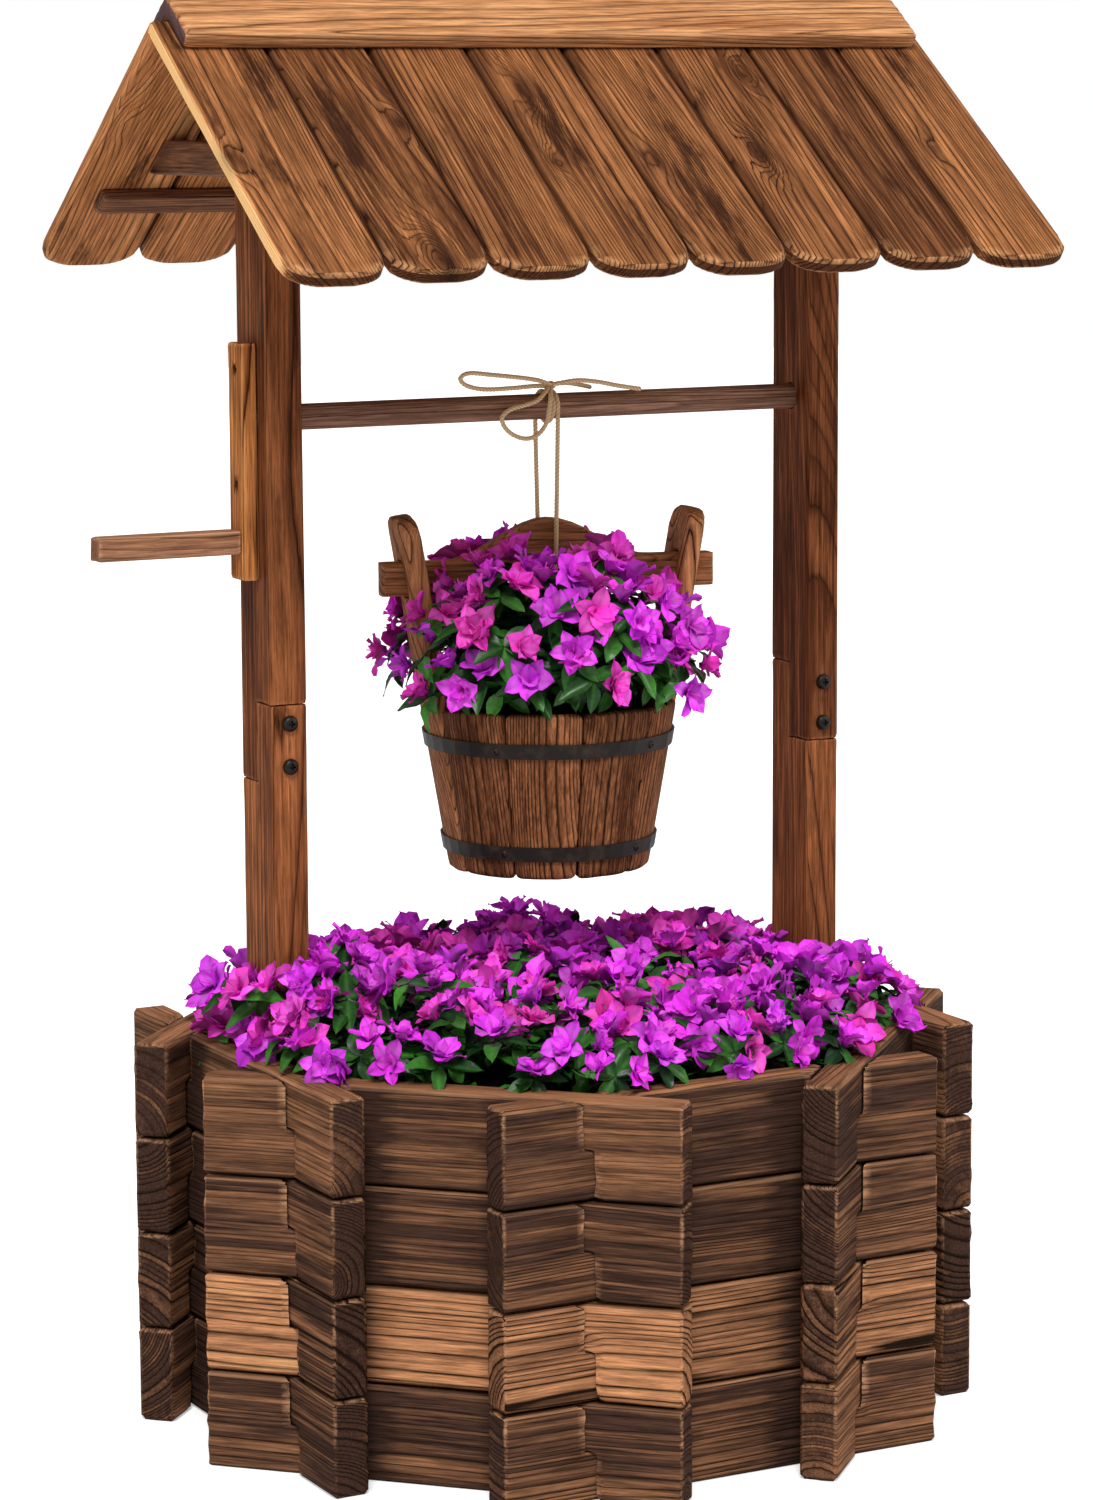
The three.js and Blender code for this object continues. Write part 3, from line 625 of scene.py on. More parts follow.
def black_steel_material():
    """Black painted steel, satin, with faint paler patches in its colour: rubbed paint, and a painted sheen.
    """
    material, tree = new_material("black_steel_look")
    place = add(tree, "ShaderNodeTexCoord", output="Object")
    patches = noise(place, 90.0, 4.0, 0.6)
    grain = noise(place, 900.0, 2.0, 0.5)
    # Paler patches: rubbed paint, and a painted sheen
    rubbed_and_sheen = curve(patches, ((0.45, 0.0), (0.75, 1.0)))
    colour = mixed(rubbed_and_sheen, (0.008, 0.005, 0.003), (0.034, 0.021, 0.013))
    return finish(material, colour, patches * 0.35 + 0.28, 0.24, grain, 0.2 * MM, strength=0.4)


def tinted_material(name, roughness, variation, scale, specular):
    """A surface whose colour is in its points, broken up by fine noise."""
    material, tree = new_material(name)
    grain = noise(add(tree, "ShaderNodeTexCoord", output="Object"), scale, 4.0, 0.6)
    shade = curve(grain, ((0.3, 1.0 - variation), (0.7, 1.0)))
    colour = mixed(1.0, attribute(tree, "tint", "Color"), shade, "MULTIPLY")
    return finish(material, colour, roughness, specular, grain, 0.4 * MM, strength=0.5)


def jute_material():
    """Tan twisted fibre: pale strands, with painted shade in the hollows between them."""
    material, tree = new_material("jute_look")
    hairs = noise(add(tree, "ShaderNodeTexCoord", output="Object"), 1500.0, 4.0, 0.7)
    colour = mixed(hairs, (0.5, 0.32, 0.16), (0.95, 0.7, 0.42))
    colour = mixed(attribute(tree, "hollow") * 0.75, colour, (0.2, 0.1, 0.04))
    return finish(material, colour, 0.9, 0.15, hairs, 0.4 * MM, strength=0.8)


def soil_material():
    material, tree = new_material("soil_look")
    crumbs = noise(add(tree, "ShaderNodeTexCoord", output="Object"), 220.0, 5.0, 0.7)
    pale = curve(crumbs, ((0.35, 0.0), (0.7, 1.0)))
    colour = mixed(pale, (0.008, 0.005, 0.003), (0.05, 0.032, 0.02))
    return finish(material, colour, 0.95, 0.5, crumbs, 3 * MM)


# The view


def make_camera():
    data = bpy.data.cameras.new("camera")
    data.sensor_width = SENSOR_MM
    data.lens = FOCAL_PIXELS / LONG_SIDE_PIXELS * SENSOR_MM
    data.clip_end = 100
    camera = link(bpy.data.objects.new("camera", data))
    heading = Matrix.Rotation(-CAMERA_YAW, 4, "Z") @ Matrix.Rotation(math.pi / 2 - CAMERA_PITCH, 4, "X")
    roll = Matrix.Rotation(CAMERA_ROLL, 4, "Z")
    camera.matrix_world = Matrix.Translation(CAMERA_PLACE) @ heading @ roll
    bpy.context.scene.camera = camera


def make_lamps():
    """Soft lamps, each with the direction that its light travels."""
    for name, (toward, strength, spread) in LAMPS.items():
        data = bpy.data.lights.new(name, "SUN")
        data.energy = strength
        data.angle = math.radians(spread)
        lamp = link(bpy.data.objects.new(name, data))
        lamp.rotation_mode = "QUATERNION"
        lamp.rotation_quaternion = Vector(toward).to_track_quat("-Z", "Y")


def make_world():
    """A grey sky that is white for rays from the camera, and for those that pass through glass."""
    world = bpy.data.worlds.new("studio")
    world.use_nodes = True
    bpy.context.scene.world = world
    tree = world.node_tree
    tree.nodes.clear()
    seen = add(tree, "ShaderNodeLightPath", output="Is Camera Ray")
    through = add(tree, "ShaderNodeLightPath", output="Is Transmission Ray")
    plain, shown = (
        add(tree, "ShaderNodeBackground", {"Color": (1, 1, 1), "Strength": level})
        for level in (SKY_LEVEL, 1.0)
    )
    both = add(tree, "ShaderNodeMixShader", {0: seen.math("MAXIMUM", through), 1: plain, 2: shown})
    feed(tree.nodes.new("ShaderNodeOutputWorld").inputs["Surface"], both)


def make_floor():
    """A pale floor that shows white round the shadow."""
    half = FLOOR_HALF
    corners = [(-half, -half, 0), (half, -half, 0), (half, half, 0), (-half, half, 0)]
    floor = mesh_object("floor", corners, [(0, 1, 2, 3)])
    material, tree = new_material("floor_look")
    shader = tree.nodes["Principled BSDF"]
    for key, value in (("Base Color", (0.88, 0.88, 0.88)), ("Roughness", 0.6), ("Specular IOR Level", 0.1)):
        feed(shader.inputs[key], value)
    plain = Value(tree, shader.outputs[0])
    seen = add(tree, "ShaderNodeLightPath", output="Is Camera Ray")
    glow = add(tree, "ShaderNodeEmission", {"Color": (1, 1, 1), "Strength": FLOOR_GLOW})
    lit = add(tree, "ShaderNodeAddShader", {0: plain, 1: glow})
    both = add(tree, "ShaderNodeMixShader", {0: seen, 1: plain, 2: lit})
    feed(tree.nodes["Material Output"].inputs["Surface"], both)
    floor.data.materials.append(material)


# Twine

# The twine's radius, how far it runs while its strands go once round, and the step between its rings
TWINE_RADIUS = 1.85 * MM
TWINE_LAY = 9 * MM
TWINE_STRANDS = 3
TWINE_STEP = 0.7 * MM
# The twine's loose fibres: one for so much of its length, and their lengths and half thicknesses in mm
HAIR_GAP = 0.9 * MM
HAIR_LENGTHS = (1.5, 4.0)
HAIR_HALVES = (0.05, 0.1)
# The radius of the twine's middle round the roller, and how far to each side the sling's two strands leave it
ROLLER_WRAP = 11.9 * MM
STRAND_SHIFT = 3.8 * MM
YOKE_UNDERSIDE = 653 * MM
YOKE_HALF_THICKNESS = 8.68 * MM
# What the twine's middle keeps from the wood that it lies on
TWINE_ROOM = 1.9 * MM
# The sling's straight runs: how far under the roller's middle they start, where they end, and their step
SLING_DROP = 12 * MM
SLING_LOW = 664 * MM
SLING_STEP = 8 * MM
# Its turn round the yoke's lower edge: the share of the strands' shift, and the way in and up in mm
SLING_TURN = ((0.45, 0, 3), (0.4, 1, 0.7), (0.35, 3.1, 0))
# The size of the overhand knot
KNOT_SIZE = 3.4 * MM


def well_points(points):
    """Points in mm of the well's own frame, in metres of the row frame."""
    return np.array(points) * MM + (CENTRE_X, 0, 0)


KNOT_PLACE = well_points([0, -5.3, 801.5])
LONG_LOOP = well_points(
    [
        [0, -5.7, 802.6], [-11.3, -7.6, 806.4], [-28.3, -8.5, 809.2], [-52, -9, 812.1],
        [-71.8, -9, 814], [-79.4, -9, 810.2], [-73.7, -9, 804.5], [-58.6, -9, 801.2],
        [-35.9, -8.5, 801.2], [-15.1, -7.6, 802.1], [-0.9, -5.7, 801.7],
    ]
)
ROUND_LOOP = well_points(
    [
        [-0.9, -6.1, 801.7], [-8.5, -13.2, 796.9], [-17, -16.1, 791.3], [-27.4, -16.5, 788.4],
        [-39.7, -16.5, 785.6], [-47.2, -16.5, 779.9], [-45.4, -16.5, 772.4], [-37.8, -16.5, 765.8],
        [-26.5, -16.5, 762.4], [-16.1, -16.5, 765.3], [-8.5, -16.5, 774.3], [-6.1, -16.5, 784.7],
        [-3.8, -14.2, 794.1], [0, -6.6, 801.7],
    ]
)
LONG_TAIL = well_points(
    [
        [0, -5.7, 802.1], [9.4, -8.5, 804], [22.7, -10.4, 805.4], [39.7, -11.8, 803.6],
        [56.7, -12.3, 800.2], [76.5, -12.8, 796.9],
    ]
)
SHORT_TAIL = well_points(
    [[0, -5.2, 802.1], [8.5, -3.8, 803.1], [20.8, 0.9, 802.6], [32.1, 5.2, 800.7], [43.5, 8.5, 798.4]]
)
BOW_RUNS = (
    ("bow_long_loop", LONG_LOOP, "knot", "loose"),
    ("bow_round_loop", ROUND_LOOP, "knot", "hanging"),
    ("bow_long_tail", LONG_TAIL, "bare", "loose"),
    ("bow_short_tail", SHORT_TAIL, "bare", "loose"),
)


def travelled(points):
    """How far along the line each point lies."""
    return np.concatenate([[0], np.cumsum(np.linalg.norm(np.diff(points, axis=0), axis=1))])


def even_path(points, step):
    """Points a step apart along the line."""
    travel = travelled(points)
    places = np.linspace(0, travel[-1], max(3, int(round(travel[-1] / step)) + 1))
    return np.stack([np.interp(places, travel, points[:, i]) for i in range(3)], axis=1)


def smooth_path(points, step):
    """Even points along a smooth curve through the given ones."""
    ends = np.concatenate([[2 * points[0] - points[1]], points, [2 * points[-1] - points[-2]]])
    t = np.linspace(0, 1, 24, endpoint=False)[:, None]
    fine = []
    for p0, p1, p2, p3 in zip(ends, ends[1:], ends[2:], ends[3:]):
        bend, twist = 2 * p0 - 5 * p1 + 4 * p2 - p3, 3 * p1 - p0 - 3 * p2 + p3
        fine.append(0.5 * (2 * p1 + (p2 - p0) * t + bend * t**2 + twist * t**3))
    return even_path(np.concatenate([*fine, points[-1:]]), step)


def path_frames(points):
    """Unit tangents and two steady side directions along the line."""
    tangent = np.gradient(points, axis=0)
    tangent /= np.linalg.norm(tangent, axis=1).clip(TINY)[:, None]
    side = np.zeros_like(points)
    start = np.cross(tangent[0], (0.3, 0.5, 0.81))
    side[0] = start / np.linalg.norm(start)
    for i in range(1, len(points)):
        moved = side[i - 1] - tangent[i] * np.dot(side[i - 1], tangent[i])
        side[i] = moved / np.linalg.norm(moved)
    return tangent, side, np.cross(tangent, side)


def twisted_tube(name, path, radius=TWINE_RADIUS, sides=18):
    """A laid cord along the path: its strands wind round each other. Its ends are closed."""
    _, side, other = path_frames(path)
    angles = even_angles(sides)
    lobe = np.abs(np.cos(TWINE_STRANDS * (angles - TURN * travelled(path)[:, None] / TWINE_LAY) / 2))
    reach = radius * (0.74 + 0.26 * lobe**0.7)
    sideways = side[:, None] * (np.cos(angles) * reach)[..., None]
    otherways = other[:, None] * (np.sin(angles) * reach)[..., None]
    points = path[:, None] + sideways + otherways
    obj = mesh_object(name, points.reshape(-1, 3), ring_faces(len(path), sides))
    # Painted shade in the hollows between the strands
    write_attributes(obj, hollow=smoothstep(1 - lobe * 1.6))
    return obj


def loose_fibres(name, path):
    """Short hairs that stand off a cord, each a thin three-sided needle."""
    rng = rng_of(name)
    tangent, side, other = path_frames(path)
    needles = []
    for _ in range(int(travelled(path)[-1] / HAIR_GAP)):
        i = rng.integers(1, len(path) - 1)
        angle = rng.uniform(0, TURN)
        out = side[i] * math.cos(angle) + other[i] * math.sin(angle)
        lean = tangent[i] * rng.uniform(-1.6, 1.6) + out * rng.uniform(0.5, 1.2)
        root = path[i] + out * TWINE_RADIUS * 0.8
        reach = rng.uniform(*HAIR_LENGTHS) * MM
        thick = rng.uniform(*HAIR_HALVES) * MM
        middle = root + lean * reach * 0.5
        tip = root + lean * reach + rng.normal(size=3) * 0.6 * MM
        across = np.cross(lean, out + 0.01)
        across /= np.linalg.norm(across)
        points = []
        for place, size in ((root, 1.0), (middle, 0.8)):
            for a in even_angles(3):
                points.append(place + (across * math.cos(a) + out * math.sin(a)) * thick * size)
        needles.append((points + [tip], ring_faces(2, 3, apex=True)))
    points, faces = merged(needles)
    obj = mesh_object(name, points, faces)
    write_attributes(obj, hollow=np.zeros(len(points)))
    return obj


def sling_route():
    """From the roller's top down one side of the yoke, under it and up the other side, in one length."""
    low = YOKE_UNDERSIDE - TWINE_ROOM
    side = YOKE_HALF_THICKNESS + TWINE_ROOM
    points = []
    for a in np.radians(np.arange(90, 181, 12)):
        points.append((STRAND_SHIFT, ROLLER_WRAP * math.cos(a), ROLLER_HEIGHT + ROLLER_WRAP * math.sin(a)))
    for z in np.arange(ROLLER_HEIGHT - SLING_DROP, SLING_LOW, -SLING_STEP):
        share = (ROLLER_HEIGHT - z) / (ROLLER_HEIGHT - low)
        y = -ROLLER_WRAP + (ROLLER_WRAP - side) * smoothstep(share)
        points.append((STRAND_SHIFT * (1 - 0.5 * share), y, z))
    for shift, inward, lift in SLING_TURN:
        points.append((STRAND_SHIFT * shift, -side + inward * MM, low + lift * MM))
    back = [(-x, -y, z) for x, y, z in points[::-1]]
    return np.array(points + [(0, 0, low)] + back) + (CENTRE_X, 0, 0)


def knot_path():
    """An overhand knot: a closed trefoil, drawn tight."""
    turns = even_angles(90)
    path = np.stack(
        [
            (np.sin(turns) + 2 * np.sin(2 * turns)) / 3,
            -np.sin(3 * turns) * 0.55,
            (np.cos(turns) - 2 * np.cos(2 * turns)) / 3,
        ],
        axis=1,
    )
    return np.concatenate([path, path[:2]]) * KNOT_SIZE + KNOT_PLACE


def twine_run(name, path, look, body, node):
    """A run of twine in place of a CAD node, and its loose fibres."""
    run = fitted(twisted_tube(name, path), look, body, (node,))
    return run, fitted(loose_fibres(name + "_hairs", path), look, body)


def make_twine(look):
    """The bow on the roller, of a knot, a turn and four runs, and the sling that carries the yoke."""
    fitted(twisted_tube("bow_knot", knot_path(), TWINE_RADIUS * 0.92, sides=14), look, "windlass")
    for name, route, far_end, lay in BOW_RUNS:
        path = smooth_path(route, TWINE_STEP)
        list(twine_run(name, path, look, "windlass", "twine_bow"))
    turns = np.linspace(0, TURN, 80)
    band = arc(turns, ROLLER_WRAP)[:, [2, 0, 1]] + (CENTRE_X, 0, ROLLER_HEIGHT)
    fitted(twisted_tube("bow_turn", band), look, "windlass", ("twine_bow",))
    path = even_path(sling_route(), TWINE_STEP)
    sling, hairs = twine_run("sling", path, look, "sling", "twine_sling")
    for piece in (sling, hairs):
        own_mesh(piece)


# Wooden pieces

# How pale the boards that the photograph shows are, from 0 to 1, by side and by course from the bottom
WALL_TONES = {
    "front_left": (0.2, 0.95, 0.16, 0.26),
    "front": (0.26, 0.62, 0.16, 0.12),
    "left": (0.1, 0.15, 0.2, 0.26),
    "front_right": (0.36, 0.42, 0.08, 0.0),
}
# How strong the growth lines are on each course from the bottom, and how far apart at least
WALL_FIGURES = (0.65, 1.0, 0.6, 0.6)
WALL_SPACINGS = (3.4 * MM, 5.4 * MM, 3.2 * MM, 3.8 * MM)
# How much lower a board is than its solid, which leaves a dark line between two courses
SEAM = 1.8 * MM
# How much paler the rim is, a painted highlight where light from above falls on it
CROWN_HIGHLIGHT = 0.34
# Where painted shade darkens a board outside beside the corner blocks, from its middle outwards
POCKET_SHADE_START = 30 * MM
POCKET_SHADE_WIDTH = 50 * MM
POCKET_SHADE_END = 96 * MM
# Where knots may lie on a board: up to so far along it and up or down, on its outer face
KNOT_ALONG = 150 * MM
KNOT_FACE = 14.5 * MM
KNOT_RISE = 25 * MM


def wall_tone(base, half, crown_highlight):
    """Darker along the lower edge and outside beside the corner blocks, as painted shade, and paler on the
    rim, as a painted highlight.
    """

    def tone(places):
        # Painted shade under each board's lower edge and in the pockets by the corner blocks, and a painted
        # highlight on the rim
        foot_shade = smoothstep((places[:, 2] - half + 4 * MM) / (3 * MM))
        top = smoothstep((-places[:, 2] - half + 3 * MM) / (2 * MM))
        aside = np.abs(places[:, 0])
        outside = smoothstep((places[:, 1] - 8 * MM) / (6 * MM)) * (aside < POCKET_SHADE_END)
        pocket_shade = outside * (0.08 + 0.9 * smoothstep((aside - POCKET_SHADE_START) / POCKET_SHADE_WIDTH))
        return base - 0.6 * foot_shade + crown_highlight * top - pocket_shade * (1 - top)

    return tone


def make_wall(look):
    for course in range(COURSE_COUNT):
        for side, side_name in enumerate(SIDE_NAMES):
            make_wall_board(f"course_{course + 1}_{side_name}_board", course, side, side_name, look)


def make_wall_board(node, course, side, side_name, look):
    rng = rng_of(node + "look")
    turn = side * TURN / SIDE_COUNT
    points, faces = cad_solid(node)
    low, high = points[:, 2].min(), points[:, 2].max()
    half = (high - low) / 2
    points[:, 2] = low + (points[:, 2] - low) * (1 - SEAM / (high - low))
    other = rng.uniform(0.1, 0.5)
    base = WALL_TONES[side_name][course] if side_name in WALL_TONES else other
    knots = ()
    if rng.random() < 0.35:
        along, rise = rng.uniform(-KNOT_ALONG, KNOT_ALONG), rng.uniform(-KNOT_RISE, KNOT_RISE)
        knots = (((along, KNOT_FACE, rise), rng.uniform(3, 6) * MM, rng.choice((-1, 1))),)

    # Pale wear mostly along a board's upper edges: real wear, and a painted highlight where light from above
    # catches them
    def wear_share(places):
        return 0.15 + 0.8 * smoothstep(-places[:, 2] / half * 2)

    timber(
        "wall_" + node, (points, faces), frame_axes(arc(turn), arc(turn - TURN / 4)), "frame", look,
        replaces=(node,), tone=wall_tone(base, half, CROWN_HIGHLIGHT if course == COURSE_COUNT - 1 else 0.0),
        steps=(12, 5.6, 4), spacing=WALL_SPACINGS[course] * rng.uniform(1, 1.5),
        reach=rng.uniform(30, 90) * MM, pith_angle=rng.choice((-1, 1)) * rng.uniform(0.8, 1.8), knots=knots,
        wear_depth=1.8 * MM, relief=1.2 * MM, wear_share=wear_share,
        figure=WALL_FIGURES[course] * rng.uniform(0.8, 1.25),
    )


# Each front roof board from the left: how pale it is, and its knots as run down the slope, place across and
# size, in mm, and the side that the grain swerves to
FRONT_ROOF = (
    (0.46, ((168, -36, 6, 1),)),
    (0.26, ((127, 31, 5, 1), (286, 2, 11, 1))),
    (0.3, ()),
    (0.38, ((89, -14, 9, 1), (177, -26, 5, -1))),
    (0.28, ((174, -22, 6, 1),)),
    (0.3, ((170, -10, 8, 1), (68, 19, 7, -1))),
    (0.16, ()),
    (0.42, ((169, -20, 5, 1),)),
)
# How long a board's rounded end is, how square its curve is, and how far above it the wear starts
THUMB_DEPTH = 24 * MM
THUMB_POWER = 2.6
THUMB_WEAR = 10 * MM
BOARD_BEVEL = 2.6 * MM
BOARD_GAP = 1.1 * MM
BOARD_WOOD = dict(
    steps=(14, 4, 3.5), tilt=0.02, wear_depth=0.9 * MM, relief=0.5 * MM, figure=0.75, end_shade=0.6
)
# The dark strips that close the seams, painted shade for the gaps between the boards: half their width, how
# far they start below the ridge and end above the boards' ends, and the shares of the boards' thickness that
# they lie between
STRIP_HALF = 2.6 * MM
STRIP_START = 2 * MM
STRIP_SHORT = 27 * MM
STRIP_SHARES = (0.4, 0.6)
# How much paler the cut edge at a gable is, on each slope: bare cut wood, and a painted highlight, most of
# all on the front slope
GABLE_PALE_AND_HIGHLIGHT = {"front": 1.6, "back": 0.4}
RIDGE_TONE = 0.38
RIDGE_WOOD = dict(
    spacing=4.5 * MM, reach=90 * MM, pith_angle=1.2, relief=0.2 * MM, wear_depth=0.6 * MM, voxel=2 * MM,
    stretch=0.35, knots=(((-70 * MM, -33 * MM, 0.0), 4 * MM, 1),),
)


def thumb_board(width, length, thickness):
    """A board with bevelled edges, square at its upper end and rounded at its lower, to which x runs."""
    rings = []
    bevel = BOARD_BEVEL
    t = np.linspace(-1, 1, 41)
    bow = THUMB_DEPTH * (1 - (1 - np.abs(t) ** THUMB_POWER) ** (1 / THUMB_POWER))
    for z, inset in ((0.0, bevel), (bevel, 0.0), (thickness - bevel, 0.0), (thickness, bevel)):
        half = width / 2 - inset
        x = [inset, *(length - inset - bow), inset]
        y = [-half, *(t * half), half]
        rings.append(np.stack([x, y, np.full(len(x), z)], axis=1))
    return np.concatenate(rings), ring_faces(len(rings), len(rings[0]))


def board_tone(base, gable, half, thickness):
    """Paler underneath, as painted light from below, and on the cut edge at a gable, partly as a painted
    highlight, and darker beside the seams, as painted shade.
    """

    def tone(places):
        # Painted light on the underside, a painted highlight on the gable's cut edge, and painted shade
        # beside the seams
        underside_light = smoothstep(1 - places[:, 2] / thickness * 2)
        side = smoothstep((np.sign(gable) * places[:, 1] - half + 4 * MM) / (2 * MM))
        seam_shade = smoothstep((np.abs(places[:, 1]) - half + 7 * MM) / (5 * MM)) * (1 - side * (gable != 0))
        return base + 0.5 * underside_light + np.abs(gable) * side - 0.3 * seam_shade

    return tone


def roof_plane(slope, sign):
    """A slope's axes, the lower corner of its boards at the ridge, and their width, length and thickness."""
    node = slope + "_roof_boards"
    down = np.array((0, sign * math.cos(ROOF_PITCH), -math.sin(ROOF_PITCH)))
    outward = np.array((0, sign * math.sin(ROOF_PITCH), math.cos(ROOF_PITCH)))
    apex = np.array((0, 0, ROOF_APEX))
    points = mesh_arrays(NODES[node].data)[0] - apex
    run, lift = points @ down, points @ outward
    low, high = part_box(node)
    corner = apex + down * run.min() + outward * lift.min() + np.array((low[0], 0, 0))
    axes = np.array([down, (-sign, 0, 0), outward])
    return axes, corner, (high[0] - low[0]) / ROOF_BOARDS, np.ptp(run), np.ptp(lift)


def make_roof_board(slope, index, axes, corner, width, full_length, thickness, look):
    name = f"{slope}_roof_board_{index + 1}"
    rng = rng_of(name)
    length = full_length - rng.uniform(0, 2) * MM
    origin = corner - axes[2] * rng.uniform(0, 0.4) * MM + np.array((width * (index + 0.5), 0, 0))
    base, places = rng.uniform(0.22, 0.45), ()
    if slope == "front":
        base, places = FRONT_ROOF[index]
    elif rng.random() < 0.6:
        places = ((rng.uniform(50, 250), rng.uniform(-30, 30), rng.uniform(4, 8), 1),)
    knots = [((run * MM, x * MM, thickness), size * MM, swerve) for run, x, size, swerve in places]
    gable = {0: -1, ROOF_BOARDS - 1: 1}.get(index, 0) * axes[1][0] * GABLE_PALE_AND_HIGHLIGHT[slope]
    thumb = length - THUMB_DEPTH - THUMB_WEAR

    def wear_share(places):
        return 0.12 + 0.88 * smoothstep((places[:, 0] - thumb) / (16 * MM))

    points, faces = thumb_board(width - 2 * BOARD_GAP, length, thickness)
    timber(
        name, (points @ axes + origin, faces), axes, "frame", look, "roof_fir", (slope + "_roof_boards",),
        origin, tone=board_tone(base, gable, width / 2, thickness), wear_share=wear_share, knots=knots,
        spacing=rng.uniform(2.6, 4.4) * MM, reach=rng.uniform(80, 160) * MM,
        pith_angle=-1.57 + rng.choice((-1, 1)) * rng.uniform(0.5, 1.2), **BOARD_WOOD,
    )


def make_seams(slope, axes, corner, width, full_length, thickness, look):
    """A dark strip inside each seam of a slope, as painted shade for the gap, so that no light comes through
    between the boards.
    """
    down, _, outward = axes
    ends = (STRIP_START, full_length - STRIP_SHORT)
    outline = [(ends[k], x * STRIP_HALF) for k, x in ((0, -1), (1, -1), (1, 1), (0, 1))]
    strips = []
    for i in range(1, ROOF_BOARDS):
        strip = []
        for share in STRIP_SHARES:
            for run, x in outline:
                along = np.array((width * i + x, 0, 0))
                strip.append(corner + along + down * run + outward * share * thickness)
        strips.append((strip, ring_faces(2, len(outline))))
    obj = mesh_object(slope + "_roof_seams", *merged(strips), smooth=False)
    fitted(obj, look, "frame", (slope + "_roof_boards",))


def make_roof(looks):
    """Both slopes, and the ridge boards, which are charred on both ends."""
    for slope, sign in (("front", -1), ("back", 1)):
        plane = roof_plane(slope, sign)
        for index in range(ROOF_BOARDS):
            make_roof_board(slope, index, *plane, looks["roof"])
        make_seams(slope, *plane, looks["dark"])
    ridge = cad_solid("ridge_boards")
    half = np.ptp(ridge[0][:, 0]) / 2

    def tone(places):
        return RIDGE_TONE - 3.0 * smoothstep((np.abs(places[:, 0]) - half + 2 * MM) / (1.5 * MM))

    timber(
        "ridge_cap", ridge, frame_axes(X, UP), "frame", looks["ridge"], "light_fir", ("ridge_boards",),
        tone=tone, **RIDGE_WOOD,
    )


# How the wooden pieces are cut, with what each kind shares
POST_WOOD = dict(
    steps=(16, 4, 4), spacing=3.4 * MM, reach=50 * MM, pith_angle=1.9, tilt=0.05, relief=0.4 * MM,
    wear_depth=0.9 * MM, wear_share=0.5,
)
ROOF_BEAM_WOOD = dict(voxel=2.4 * MM)
WINDLASS_WOOD = dict(reach=50 * MM, pith_angle=0.3, voxel=2 * MM, wear_depth=0.7 * MM)
STAVE_WOOD = dict(pith_angle=1.4, voxel=2 * MM, relief=0.3 * MM, wear_depth=0.7 * MM, wear_share=0.5)
LUG_WOOD = dict(
    tone=0.6, spacing=3.4 * MM, reach=50 * MM, pith_angle=0.4, voxel=2 * MM, relief=0.4 * MM,
    wear_depth=0.7 * MM,
)
BUCKET_WOOD = dict(
    spacing=5 * MM, reach=50 * MM, pith_angle=0.9, voxel=2.4 * MM, relief=0.2 * MM, wear_depth=0.6 * MM
)
STICK_WOOD = dict(WINDLASS_WOOD, steps=(9, 3.6, 3.6))
YOKE_CUT = dict(steps=(9, 4, 4.5), knots=(((95 * MM, 4 * MM, 8 * MM), 6 * MM, 1),))
YOKE_ALONG = arc(BUCKET_TWIST)

# Each wooden CAD node with its body, its wood, the directions along and across its grain, and how it is cut
WOODEN_NODES = (
    ("left_lower_post", "frame", "post", UP, X, dict(POST_WOOD, tone=0.46)),
    ("left_upper_post", "frame", "post", UP, X, dict(POST_WOOD, tone=0.26)),
    ("right_lower_post", "frame", "post", UP, X, dict(POST_WOOD, tone=0.38)),
    ("right_upper_post", "frame", "post", UP, X, dict(POST_WOOD, tone=0.2)),
    # The gable ties and the roof battens have low tones as painted shade for the dim inside of the roof
    ("left_gable_tie", "frame", "dark", Y, UP, dict(ROOF_BEAM_WOOD, tone=0.2, spacing=3.5 * MM)),
    ("right_gable_tie", "frame", "dark", Y, UP, dict(ROOF_BEAM_WOOD, tone=0.2, spacing=3.5 * MM)),
    ("front_roof_batten", "frame", "dark", X, UP, dict(ROOF_BEAM_WOOD, tone=0.4, spacing=4 * MM)),
    ("back_roof_batten", "frame", "dark", X, UP, dict(ROOF_BEAM_WOOD, tone=0.4, spacing=4 * MM)),
    ("roller", "windlass", "roller", X, Y, dict(WINDLASS_WOOD, tone=0.55, spacing=2.8 * MM)),
    ("crank_arm", "windlass", "arm", UP, Y, dict(STICK_WOOD, tone=0.42, spacing=4.2 * MM)),
    ("crank_handle", "windlass", "handle", X, Y, dict(STICK_WOOD, spacing=3.6 * MM)),
    ("right_lug_stave", "bucket", "lug", UP, YOKE_ALONG, LUG_WOOD),
    ("left_lug_stave", "bucket", "lug", UP, YOKE_ALONG, LUG_WOOD),
    ("yoke", "bucket", "yoke", YOKE_ALONG, UP, dict(BUCKET_WOOD, tone=0.72, **YOKE_CUT)),
    ("bucket_bottom", "bucket", "stave", YOKE_ALONG, UP, dict(BUCKET_WOOD, tone=0.35)),
)

# The crank arm's two holes, as heights, and how far round their middle the wood is painted dark, as shade
# inside the holes
ARM_HOLES = (ROLLER_HEIGHT - 48.55 * MM, ROLLER_HEIGHT + 37.95 * MM)
ARM_HOLE_REACH = 3.2 * MM


def make_wooden_nodes(looks):
    for node, body, wood, along, across, cut in WOODEN_NODES:
        axes = frame_axes(along, across)
        made = timber(node + "_wood", cad_solid(node), axes, body, looks[wood], replaces=(node,), **cut)
        if node == "crank_arm":
            paint_hole_shade(made.data)


